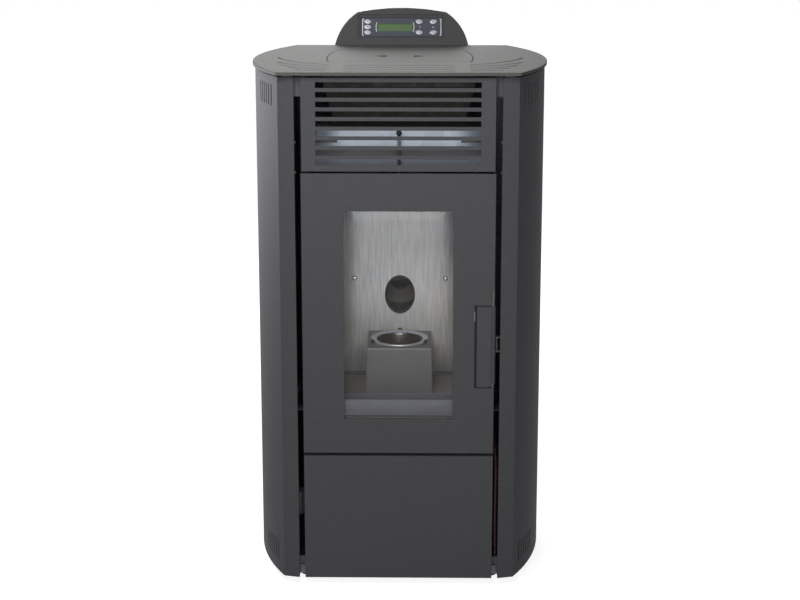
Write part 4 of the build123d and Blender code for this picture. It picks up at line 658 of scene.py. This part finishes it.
hopper_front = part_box("hopper")[0].y
bin_sheet = galvanised("bin_sheet", BIN_PAINTED_SHADE, 0.009, 0.6, 0.2)
# Painted shade: the bin's front wall, seen through the grille's upper slots, is near black.
repaint(bin_sheet, band(bin_sheet, 1, hopper_front - 0.01, hopper_front + 0.0004, 0.0002), BIN_FRONT_SHADE)
dress(bin_sheet, "hopper")
chute_steel = brushed("chute_steel", CHUTE_STEEL, CHUTE_WORN, (0.01, 0.01, 0.01), 0.1, 0.6, 0.05, 0.0, 0.9)
dress(chute_steel, "feed_tube")
dress(bright_steel, "auger_screw")
motor_can = brushed("motor_can", (0.36, 0.36, 0.37), (0.30, 0.30, 0.31), (0.02, 0.02, 0.0006), 0.8, 0.38)
dress(motor_can, "auger_motor")

# ---- Smoke fan, flue spigot, air pipe and room fan ----------------------------------------------
# Pressed sheet housings hold the two fans. The spigot is painted black and pushes into a flue pipe,
# and a zinc-coated pipe brings the combustion air.

dress(galvanised("housing_zinc", shade(ZINC, 0.5), 0.008), "smoke_fan_housing")
dress(galvanised("pipe_zinc", (0.42, 0.44, 0.47), 0.006), "air_pipe")
dress(brushed("fan_sheet", (0.50, 0.50, 0.51), (0.45, 0.45, 0.46), metallic=0.9, roughness=0.35),
      "smoke_fan_wheel", "room_fan_wheel")
dress(motor_can, "smoke_fan_motor", "room_fan_motor")
heat_black = powder_coat("black_heat_paint", (0.024, 0.024, 0.025), 0.6, 0.0008)
dress(heat_black, "room_fan_housing", "flue_spigot")

# ---- Wiring, mains inlet and rocker switch ------------------------------------------------------
# The wires run down inside the right side in a corrugated sleeve. Inlet and switch are mouldings
# of black plastic with a fine spark-eroded grain, snapped into the rear panel.

loom_sleeve = plain("loom_sleeve", (0.050, 0.018, 0.014), 0.55)
# Painted shade and highlight: the colour runs dark in the grooves and light on the crests of the ribs.
ribs = add(loom_sleeve, "TexWave", {"Vector": place_of(loom_sleeve), "Scale": 60.0}, bands_direction="Z")
feed(loom_sleeve, "Base Color", blend_of(loom_sleeve, ribs.outputs["Fac"], (0.018, 0.008, 0.007),
                                         (0.085, 0.030, 0.022)))
bump(loom_sleeve, ribs.outputs["Fac"], 0.0008)
dress(loom_sleeve, "wiring_loom")


def moulded(name, colour, roughness=0.45, grain=0.0007, depth=0.00006):
    """Moulded plastic with a fine spark-eroded grain and slow changes in its sheen."""
    made = plain(name, colour, roughness, specular=0.45)
    place = place_of(made)
    grains = noise(made, place, grain, 2.0, 0.6)
    tone = blend_of(made, grains, shade(colour, 0.88), shade(colour, 1.12))
    cloud = blend_of(made, noise(made, place, 0.03), (0.95, 0.95, 0.95), (1.0, 1.0, 1.0))
    feed(made, "Base Color", multiply(made, tone, cloud))
    rub = add(made, "MapRange", {"Value": noise(made, place, 0.02), 3: roughness - 0.05, 4: roughness + 0.07})
    feed(made, "Roughness", rub.outputs["Result"])
    bump(made, grains, depth)
    return made


dress(moulded("black_plastic", (0.020, 0.020, 0.021)), "power_inlet", "rocker_switch")

# ---- Grille and lower panel ---------------------------------------------------------------------
# Two flat sheets close the front above and below the fire door. The upper one has nine slots for
# the warm air. Small angle brackets in the gaps hold them to the side panels.

charcoal_front = powder_coat("charcoal_front", CHARCOAL)
dress(charcoal_front, "grille_panel", "lower_panel")
dress(powder_coat("grey_primer", (0.085, 0.085, 0.095)), "front_brackets")

# ---- Fire door ----------------------------------------------------------------------------------
# A flat sheet with a window hangs on two pins at the left. Behind it a black frame holds the
# ceramic glass with steel clips.

dress(charcoal_front, "door_panel")
dress(heat_black, "door_frame", "door_hinges")
dress(bright_steel, "glass_clips")

PANE_CLEAR = 0.95              # share of the light that passes
PANE_IOR = 1.22

clear_ceramic = bpy.data.materials.new("clear_ceramic")
clear_ceramic.use_nodes = True
clear_ceramic.node_tree.nodes.clear()
pane_clear = add(clear_ceramic, "BsdfTransparent", {"Color": (PANE_CLEAR, PANE_CLEAR, PANE_CLEAR, 1)})
pane_shine = add(clear_ceramic, "BsdfGlossy", {"Color": (1, 1, 1, 1), "Roughness": 0.02})
pane_share = add(clear_ceramic, "Fresnel", {"IOR": PANE_IOR})
pane_mix = add(clear_ceramic, "MixShader", {0: pane_share.outputs["Fac"], 1: pane_clear.outputs["BSDF"],
                                            2: pane_shine.outputs["BSDF"]})
add(clear_ceramic, "OutputMaterial", {"Surface": pane_mix.outputs["Shader"]})
dress(clear_ceramic, "door_glass")

# ---- Rope seal ----------------------------------------------------------------------------------
# A rope braided from graphite-coated glass yarn lies in the door frame's channel, glued in, and
# closes the gap to the firebox when the door is shut.

ROPE_BRAID = 0.0085            # length of one crossing of the yarns
ROPE_YARNS = 5
ROPE_STEP = 0.0011
ROPE_CORNER = 0.014
ROPE_ROUND = 28
ROPE_HALF_WIDE = 0.0050


def rounded_loop(half_x, low_z, high_z, corner, step):
    """Points and tangents along a rectangle with round corners, in the door's plane."""
    places, tangents = [], []
    middle_z = (low_z + high_z) / 2
    half_z = (high_z - low_z) / 2
    corners = ((1, 1, 0.0), (-1, 1, 90.0), (-1, -1, 180.0), (1, -1, 270.0))
    for number, (sx, sz, start) in enumerate(corners):
        centre = np.array([sx * (half_x - corner), middle_z + sz * (half_z - corner)])
        turns = np.radians(start + np.linspace(0, 90, max(4, int(corner * 1.57 / step)), endpoint=False))
        for a in turns:
            places.append(centre + corner * np.array([math.cos(a), math.sin(a)]))
            tangents.append(np.array([-math.sin(a), math.cos(a)]))
        after = corners[(number + 1) % 4]
        end = math.radians(start + 90)
        here = centre + corner * np.array([math.cos(end), math.sin(end)])
        there = np.array([after[0] * (half_x - corner), middle_z + after[1] * (half_z - corner)])
        there = there + corner * np.array([math.cos(end), math.sin(end)])
        span = np.linalg.norm(there - here)
        for t in np.arange(0, span, step):
            places.append(here + (there - here) * t / span)
            tangents.append((there - here) / span)
    return np.array(places), np.array(tangents)


def rope_rows(low, high):
    """The rope's skin: an ellipse round each point of the loop, with radius share
    0.93 + 0.07 max(sin(n a + k s), sin(n a - k s)), where s is the way along and a the angle round
    it. The two sine waves are the yarns that run to the left and to the right."""
    half_wide = ROPE_HALF_WIDE
    half_deep = (high.y - low.y) / 2
    places, tangents = rounded_loop(high.x - half_wide, low.z + half_wide, high.z - half_wide,
                                    ROPE_CORNER, ROPE_STEP)
    angle = np.linspace(0, 2 * np.pi, ROPE_ROUND, endpoint=False)
    gaps = np.linalg.norm(np.roll(places, -1, axis=0) - places, axis=1)
    total = gaps.sum()
    along = np.concatenate([[0], np.cumsum(gaps)[:-1]])
    wave = 2 * np.pi * round(total / ROPE_BRAID) / total * along
    left = np.sin(ROPE_YARNS * angle[None, :] + wave[:, None])
    right = np.sin(ROPE_YARNS * angle[None, :] - wave[:, None])
    share = 0.93 + 0.07 * np.maximum(left, right)
    outward = np.column_stack([tangents[:, 1], -tangents[:, 0]])
    wide = share * half_wide * np.cos(angle)[None, :]
    deep = share * half_deep * np.sin(angle)[None, :]
    x = places[:, 0, None] + outward[:, 0, None] * wide
    z = places[:, 1, None] + outward[:, 1, None] * wide
    y = (low.y + high.y) / 2 + deep
    rows = np.stack([x, y, z], axis=-1)
    return np.concatenate([rows, rows[:1]])


rope_yarn = plain("rope_yarn", (0.11, 0.105, 0.10), 0.85, specular=0.2)
rope_tone = noise(rope_yarn, place_of(rope_yarn), 0.0018, 3.0, 0.7)
feed(rope_yarn, "Base Color", blend_of(rope_yarn, rope_tone, (0.050, 0.048, 0.046), (0.22, 0.21, 0.20)))
bump(rope_yarn, rope_tone, 0.0003)
seal_low, seal_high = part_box("door_seal")
rope_mesh = grid_mesh("braided_rope_seal", rope_rows(seal_low, seal_high), True, None, (rope_yarn,))
piece("braided_rope_seal", rope_mesh, "fire_door", "rope_seal", "door_seal")

# ---- Door handle --------------------------------------------------------------------------------
# A flap of the same sheet in a cut-out of the door's right edge turns a shaft with a latch tongue,
# which passes behind a keeper on the stove.

dress(charcoal_front, "handle_plate")
dark_zinc = brushed("dark_zinc", (0.12, 0.115, 0.11), (0.09, 0.088, 0.085), (0.001, 0.001, 0.02), 0.6, 0.45)
dress(dark_zinc, "handle_shaft", "latch_keeper")

# ---- Top plate and hopper lid -------------------------------------------------------------------
# The top plate is a folded sheet with straight and curved slots for warm air. The hopper lid is
# set flush in it, turns on two pins at its rear edge and is lifted by two finger holes.

# Painted light: the top's charcoal is lighter than the sides' and front's, though it is the same paint.
charcoal_top = powder_coat("charcoal_top", (0.095, 0.094, 0.090))
dress(charcoal_top, "top_plate", "hopper_lid")
dress(bright_steel, "lid_pins")

# ---- Console housing and control board ----------------------------------------------------------
# A plastic moulding behind the top plate, with a sloping face and a shallow recess for the keypad.
# The circuit board lies behind the keypad, green with solder resist.

dress(moulded("console_plastic", (0.036, 0.036, 0.038), 0.5, 0.0009), "console_housing")
dress(moulded("solder_resist", (0.03, 0.16, 0.06), 0.3, 0.002), "control_board")

# ---- Keypad -------------------------------------------------------------------------------------
# A plate covered by a printed film, blue-grey with a dark margin, white brackets round the display
# and the outer keys, and two small marks between the right-hand keys.

LEAN = math.radians(30)
KEYPAD_UP = np.array([0.0, math.sin(LEAN), math.cos(LEAN)])
KEYPAD_OUT = np.array([0.0, -math.cos(LEAN), math.sin(LEAN)])
KEYPAD_SHEET = 0.0025
FILM_BLUE = (0.056, 0.061, 0.085)
FILM_MARGIN = (0.022, 0.023, 0.030)
FILM_HALF = (0.0775, 0.0182)   # of the blue field
PRINT_LIFT = 0.00008
BRACKET_X = 0.0776             # the brackets outside the outer keys
BRACKET_HOOK = 0.0025
BRACKET_LINE = 0.0020          # width of the line
ARC_RADIUS = 0.028             # the curved lines beside the display
ARC_X = 0.0376                 # from the display's middle
ARC_HALF = 21                  # degrees each way
ARC_LINE = 0.0016

keypad_low, keypad_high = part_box("keypad_plate")
keypad_middle = np.array((keypad_low + keypad_high) / 2)
keypad_zero = keypad_middle + KEYPAD_OUT * KEYPAD_SHEET / 2    # on the film's surface


def on_keypad(across, up, lift=0.0):
    """A place on the keypad, from its middle, in metres."""
    return keypad_zero + np.array([across, 0, 0]) + KEYPAD_UP * up + KEYPAD_OUT * lift


def up_the_face(made):
    """The way up the sloping face from the keypad's middle, in metres."""
    place = add(made, "TexCoord", {}).outputs["Object"]
    up = add(made, "VectorMath", {0: place, 1: tuple(KEYPAD_UP)}, operation="DOT_PRODUCT").outputs["Value"]
    return add(made, "Math", {0: up, 1: float(keypad_zero @ KEYPAD_UP)}, operation="SUBTRACT").outputs[0]


def away(made, value, limit, soft):
    """0 while the value stays within plus or minus limit, and 1 beyond it."""
    size = add(made, "Math", {0: value}, operation="ABSOLUTE").outputs[0]
    return add(made, "MapRange", {"Value": size, 1: limit, 2: limit + soft}).outputs["Result"]


film = moulded("keypad_film", FILM_BLUE, 0.38, 0.0012, 0.00002)
film_x = along_axis(film, 0)
film_edge = add(film, "Math", {0: away(film, film_x, FILM_HALF[0], 0.0008),
                               1: away(film, up_the_face(film), FILM_HALF[1], 0.0008)}, operation="MAXIMUM")
repaint(film, film_edge.outputs[0], FILM_MARGIN)
dress(film, "keypad_plate")


def ribbon(points, width, lift=PRINT_LIFT, place=on_keypad):
    """A printed line through points on the keypad: two rows of places, half a width to each side,
    square to the line's way at each point."""
    points = np.array(points, dtype=float)
    way = np.gradient(points, axis=0)
    way /= np.linalg.norm(way, axis=1)[:, None]
    side = np.column_stack([-way[:, 1], way[:, 0]]) * width / 2
    rows = []
    for edge in (points + side, points - side):
        rows.append([place(x, y, lift) for x, y in edge])
    return np.array(rows[::-1])


def arc(centre, radius, start, end, steps=14):
    """Points along an arc, angles in degrees."""
    turn = np.radians(np.linspace(start, end, steps))
    return [(centre[0] + radius * math.cos(a), centre[1] + radius * math.sin(a)) for a in turn]


def hooked(x, half, hook):
    """An upright bar with its ends turned in by hook, to the right if it is positive."""
    sign = 1 if hook > 0 else -1
    reach = abs(hook)
    upright = 180 if sign > 0 else 0
    top = arc((x + sign * reach, half - reach), reach, 90, upright, 8)
    bottom = arc((x + sign * reach, -half + reach), reach, upright, upright + sign * 90, 8)
    return top + bottom


print_white = plain("print_white", (0.62, 0.63, 0.68), 0.5)
print_tone = noise(print_white, place_of(print_white), 0.001)
feed(print_white, "Base Color", blend_of(print_white, print_tone, (0.56, 0.57, 0.62), (0.70, 0.71, 0.76)))
DISPLAY_X = (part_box("display_window")[0].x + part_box("display_window")[1].x) / 2
print_lines = [
    ribbon(hooked(-BRACKET_X, FILM_HALF[1], BRACKET_HOOK), BRACKET_LINE),
    ribbon(hooked(BRACKET_X, FILM_HALF[1], -BRACKET_HOOK), BRACKET_LINE),
    ribbon(arc((DISPLAY_X - ARC_X + ARC_RADIUS, 0), ARC_RADIUS, 180 - ARC_HALF, 180 + ARC_HALF), ARC_LINE),
    ribbon(arc((DISPLAY_X + ARC_X - ARC_RADIUS, 0), ARC_RADIUS, ARC_HALF, -ARC_HALF), ARC_LINE),
    ribbon([(0.0340, 0.0022), (0.0366, 0.0022), (0.0366, -0.0010), (0.0350, -0.0022)], 0.0008),
    ribbon([(0.0598, -0.0022), (0.0620, 0.0022), (0.0642, -0.0022)], 0.0009),
]
piece("keypad_print", joined("keypad_print", print_lines, print_white, closed=False), "stove", "key_silver")

# ---- Display window -----------------------------------------------------------------------------
# A clear cover over an unlit green display. Faint lines divide it into two rows of eight cells, and
# a painted shadow of the bezel darkens its top and sides.

CELL_HALF = (0.0039, 0.0064)   # half the width and the height of a cell
DISPLAY_GREEN = (0.085, 0.160, 0.055)
LINE_GREEN = (0.100, 0.185, 0.065)
BEZEL_SHADOW_GREEN = (0.035, 0.085, 0.025)
BEZEL_SHADOW_TOP = (0.0050, 0.0068)   # above the middle: where the painted shadow starts, and where it is full
BEZEL_SHADOW_SIDE, BEZEL_SHADOW_SOFT = 0.0325, 0.0015

display_green = plain("display_green", DISPLAY_GREEN, 0.22)
display_x = along_axis(display_green, 0)
cell_x = add(display_green, "Math", {0: display_x, 1: DISPLAY_X}, operation="SUBTRACT").outputs[0]
cell_up = up_the_face(display_green)
across_cell = add(display_green, "Math", {0: cell_x, 1: CELL_HALF[0]}, operation="PINGPONG").outputs[0]
up_cell = add(display_green, "Math", {0: cell_up, 1: CELL_HALF[1]}, operation="PINGPONG").outputs[0]
across_line = add(display_green, "MapRange", {"Value": across_cell, 1: 0.0001, 2: 0.0005})
up_line = add(display_green, "MapRange", {"Value": up_cell, 1: 0.0002, 2: 0.0006})
cell = add(display_green, "Math", {0: across_line.outputs["Result"], 1: up_line.outputs["Result"]},
           operation="MULTIPLY").outputs[0]
green = blend_of(display_green, cell, LINE_GREEN, DISPLAY_GREEN, 0.0, 1.0)
feed(display_green, "Base Color", green)
# Painted shadow: the bezel's shade darkens the green along the top and sides.
top_shadow = add(display_green, "MapRange", {"Value": cell_up, 1: BEZEL_SHADOW_TOP[0], 2: BEZEL_SHADOW_TOP[1]})
side_shadow = away(display_green, cell_x, BEZEL_SHADOW_SIDE, BEZEL_SHADOW_SOFT)
bezel_shadow = add(display_green, "Math", {0: top_shadow.outputs["Result"], 1: side_shadow}, operation="MAXIMUM")
repaint(display_green, bezel_shadow.outputs[0], BEZEL_SHADOW_GREEN)
dress(display_green, "display_window")

# ---- Keys ---------------------------------------------------------------------------------------
# Seven silver key caps, rounded at one end and pointed at the other, slightly domed with a groove
# inside the rim. Each has a small grey mark: arrows, a bar, a ring, and the mark for on and off.

KEY_LENGTH, KEY_HEIGHT = 0.0140, 0.0086
KEY_THICK = 0.0022
KEY_DOME = 0.0007
KEY_TIP = 0.22                 # height of the tip above the cap's middle, as a share of its height
KEY_CREST = 0.1                # the upper arc's middle point, as a share of the length
KEY_ARC_STEPS = 25
KEY_GROOVE = 0.00028           # depth of the groove
GROOVE_PLACE, GROOVE_WIDTH = 0.80, 0.055       # shares of the way out to the edge
KEY_RINGS = (0.001, 0.2, 0.4, 0.55, 0.66, 0.72, 0.76, 0.80, 0.84, 0.88, 0.94, 0.985)
KEY_EDGE = 0.00012             # the edge's turn down
KEY_FLIP_X = 0.05              # caps to the left of this place point to the left
MARK_LINE = 0.0006
MARK_LIFT = 0.00002
KEY_MARKS = {
    1: [[(-0.0016, -0.0009), (0.0, 0.0012), (0.0016, -0.0009)]],
    2: [arc((0, 0), 0.0014, 0, 360, 20)],
    3: [[(-0.0016, 0.0009), (0.0, -0.0012), (0.0016, 0.0009)]],
    4: [[(-0.0017, 0.0), (0.0017, 0.0)], [(0.0, -0.0014), (0.0, 0.0014)]],
    5: [[(-0.0017, 0.0), (0.0017, 0.0)]],
    6: [arc((0, 0), 0.0014, 125, 415, 18), [(0.0, 0.0004), (0.0, 0.0019)]],
    7: [[(-0.0012, 0.0012), (0.0012, 0.0), (-0.0012, -0.0012)]],
}


def three_point_arc(start, middle, end, steps):
    """Points of the circle through three places, from the first to the last."""
    (ax, ay), (bx, by), (cx, cy) = start, middle, end
    d = 2 * (ax * (by - cy) + bx * (cy - ay) + cx * (ay - by))
    square = [x * x + y * y for x, y in (start, middle, end)]
    ux = (square[0] * (by - cy) + square[1] * (cy - ay) + square[2] * (ay - by)) / d
    uy = (square[0] * (cx - bx) + square[1] * (ax - cx) + square[2] * (bx - ax)) / d
    radius = math.hypot(ax - ux, ay - uy)
    turns = [math.atan2(y - uy, x - ux) for x, y in (start, middle, end)]
    low, mid, high = turns[0], turns[1], turns[2]
    while mid < low:
        mid += 2 * math.pi
    while high < low:
        high += 2 * math.pi
    if mid > high:
        high -= 2 * math.pi
    return [(ux + radius * math.cos(a), uy + radius * math.sin(a)) for a in np.linspace(low, high, steps)]


def leaf_outline(flip):
    """The cap's outline: an arc below, from the round end to the tip, and an arc back above."""
    tip = (KEY_LENGTH / 2, KEY_HEIGHT * KEY_TIP)
    end = (-KEY_LENGTH / 2, 0)
    low = three_point_arc(end, (0, -KEY_HEIGHT / 2), tip, KEY_ARC_STEPS)
    high = three_point_arc(tip, (-KEY_LENGTH * KEY_CREST, KEY_HEIGHT / 2), end, KEY_ARC_STEPS)
    outline = np.array(low[:-1] + high[:-1])
    if flip:
        outline[:, 0] *= -1
        outline = outline[::-1]
    return outline


def dome_height(share):
    """Height of the cap's face at a share t of the way out to its edge: dome (1 - t^2), less a
    groove with the profile of a bell curve."""
    groove = KEY_GROOVE * np.exp(-((share - GROOVE_PLACE) / GROOVE_WIDTH) ** 2)
    return KEY_DOME * (1 - share ** 2) - groove


key_silver = plain("key_silver", (0.56, 0.57, 0.62), 0.34, metallic=0.15)
key_tone = noise(key_silver, place_of(key_silver), 0.0012)
feed(key_silver, "Base Color", blend_of(key_silver, key_tone, (0.50, 0.51, 0.56), (0.62, 0.63, 0.68)))
bump(key_silver, key_tone, 0.00002)
mark_grey = plain("mark_grey", (0.10, 0.10, 0.12), 0.5)
mark_tone = noise(mark_grey, place_of(mark_grey), 0.0006)
feed(mark_grey, "Base Color", blend_of(mark_grey, mark_tone, (0.08, 0.08, 0.10), (0.14, 0.14, 0.16)))

for number in range(1, 8):
    node_name = "key_%d" % number
    key_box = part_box(node_name)
    key_middle = np.array((key_box[0] + key_box[1]) / 2)
    key_zero = key_middle + KEYPAD_OUT * KEY_THICK / 2      # on the cap's flat rim
    flip = key_middle[0] < KEY_FLIP_X
    outline = leaf_outline(flip)
    key_zero = key_zero - KEYPAD_UP * (outline[:, 1].max() + outline[:, 1].min()) / 2

    def on_key(across, up, lift=0.0):
        """A place over the cap's flat rim."""
        return key_zero + np.array([across, 0, 0]) + KEYPAD_UP * up + KEYPAD_OUT * lift

    key_rows = []
    for share in KEY_RINGS:
        row = [on_key(x * share, y * share, dome_height(np.array(share))) for x, y in outline]
        key_rows.append(row)
    key_rows.append([on_key(x, y, -KEY_EDGE) for x, y in outline])
    key_rows.append([on_key(x, y, -KEY_THICK) for x, y in outline])
    cap_mesh = grid_mesh("silver_key_%d" % number, key_rows, True, None, (key_silver,))
    piece("silver_key_%d" % number, cap_mesh, "key_cap_%d" % number, "key_silver", node_name)
    strokes = []
    for stroke in KEY_MARKS[number]:
        strokes.append(ribbon(stroke, MARK_LINE, KEY_DOME + MARK_LIFT, on_key))
    mark_mesh = joined("key_mark_%d" % number, strokes, mark_grey, closed=False)
    piece("key_mark_%d" % number, mark_mesh, "key_cap_%d" % number, "key_silver")

# ---- Stage: floor, world, lamps and camera ------------------------------------------------------
# A pale studio. The camera sees a white floor and world. Soft lamps stand in front to the upper
# left, close to the left side, far in front, and behind.

scene.view_settings.view_transform = "Standard"
FLOOR_HALF = 12.0
FLOOR_LIFT = (0.86, 1.0)       # near the stove and far from it
FLOOR_NEAR, FLOOR_FAR = 0.35, 1.3
AMBIENT = 0.01
LAMPS = (
    # name, place, aim, size, watts
    ("front_softbox", (-0.25, -1.15, 1.45), (0, -0.25, 0.78), 0.5, 9.0),
    ("left_softbox", (-0.72, 0.03, 0.93), (-0.26, 0.03, 0.87), 0.26, 6.2),
    ("fill_softbox", (0.05, -2.35, 0.95), (0, 0, 0.62), 0.85, 18.5),
    ("rear_softbox", (-0.2, 2.2, 1.8), (0, 0.2, 0.5), 1.2, 40),
)

floor_mesh = bpy.data.meshes.new("studio_floor")
floor_mesh.from_pydata(
    [(-FLOOR_HALF, -FLOOR_HALF, 0), (FLOOR_HALF, -FLOOR_HALF, 0), (FLOOR_HALF, FLOOR_HALF, 0),
     (-FLOOR_HALF, FLOOR_HALF, 0)], [], [(0, 1, 2, 3)])
floor = bpy.data.objects.new("studio_floor", floor_mesh)
scene.collection.objects.link(floor)


def background_ray(made):
    """1 for a ray that may show the white background, and 0 for a ray that lights the object."""
    path = add(made, "LightPath", {})
    seen = add(made, "Math", {0: path.outputs["Is Camera Ray"], 1: path.outputs["Is Glossy Ray"]},
               operation="MAXIMUM")
    seen = add(made, "Math", {0: seen.outputs[0], 1: path.outputs["Is Transmission Ray"]},
               operation="MAXIMUM")
    return seen.outputs[0]


floor_paint = plain("studio_floor", (0.40, 0.40, 0.40), 0.9, specular=0.1)
floor_place = add(floor_paint, "TexCoord", {}).outputs["Object"]
distance = add(floor_paint, "VectorMath", {0: floor_place}, operation="LENGTH").outputs["Value"]
rise = add(floor_paint, "MapRange", {"Value": distance, 1: FLOOR_NEAR, 2: FLOOR_FAR,
                                     3: FLOOR_LIFT[0], 4: FLOOR_LIFT[1]}, interpolation_type="SMOOTHSTEP")
lift = add(floor_paint, "Math", {0: background_ray(floor_paint), 1: rise.outputs["Result"]},
           operation="MULTIPLY")
floor_paint.node_tree.nodes["Principled BSDF"].inputs["Emission Color"].default_value = (1, 1, 1, 1)
feed(floor_paint, "Emission Strength", lift.outputs[0])
floor_mesh.materials.append(floor_paint)

world = bpy.data.worlds.new("studio")
scene.world = world
world.use_nodes = True
strength = add(world, "MapRange", {"Value": background_ray(world), 3: AMBIENT, 4: 1.0})
background = world.node_tree.nodes["Background"]
background.inputs["Color"].default_value = (1, 1, 1, 1)
world.node_tree.links.new(strength.outputs["Result"], background.inputs["Strength"])


def lamp(name, place, aim, size, watts):
    """A square softbox that faces the point it is aimed at."""
    data = bpy.data.lights.new(name, "AREA")
    data.shape = "SQUARE"
    data.size = size
    data.energy = watts
    made = bpy.data.objects.new(name, data)
    scene.collection.objects.link(made)
    made.location = place
    made.rotation_mode = "QUATERNION"
    made.rotation_quaternion = (Vector(aim) - made.location).to_track_quat("-Z", "Y")


for lamp_values in LAMPS:
    lamp(*lamp_values)

CAMERA_DISTANCE = 2.892        # from the plane of the fire door
CAMERA_HEIGHT = 1.259          # above the casing's lower edge
CAMERA_DIP = math.radians(12.39)
CAMERA_SIDE = math.radians(0.77)
FOCAL_PIXELS = 1695.0
SHIFT_PIXELS = 56.0            # the photograph is cropped a little low
SENSOR, IMAGE_WIDTH = 36.0, 800.0
CAMERA_PIVOT = 0.22            # behind the fire door: the point that the camera is swung round
door_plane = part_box("lower_panel")[0].y
lower_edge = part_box("lower_panel")[0].z
turn_point = door_plane + CAMERA_PIVOT
reach = CAMERA_DISTANCE + CAMERA_PIVOT
eye = (reach * math.sin(CAMERA_SIDE), turn_point - reach * math.cos(CAMERA_SIDE), lower_edge + CAMERA_HEIGHT)
camera_data = bpy.data.cameras.new("camera")
camera_data.sensor_width = SENSOR
camera_data.lens = FOCAL_PIXELS * SENSOR / IMAGE_WIDTH
camera_data.shift_y = -SHIFT_PIXELS / IMAGE_WIDTH
camera = bpy.data.objects.new("camera", camera_data)
scene.collection.objects.link(camera)
camera.location = eye
camera.rotation_euler = (math.pi / 2 - CAMERA_DIP, 0, CAMERA_SIDE)
scene.camera = camera
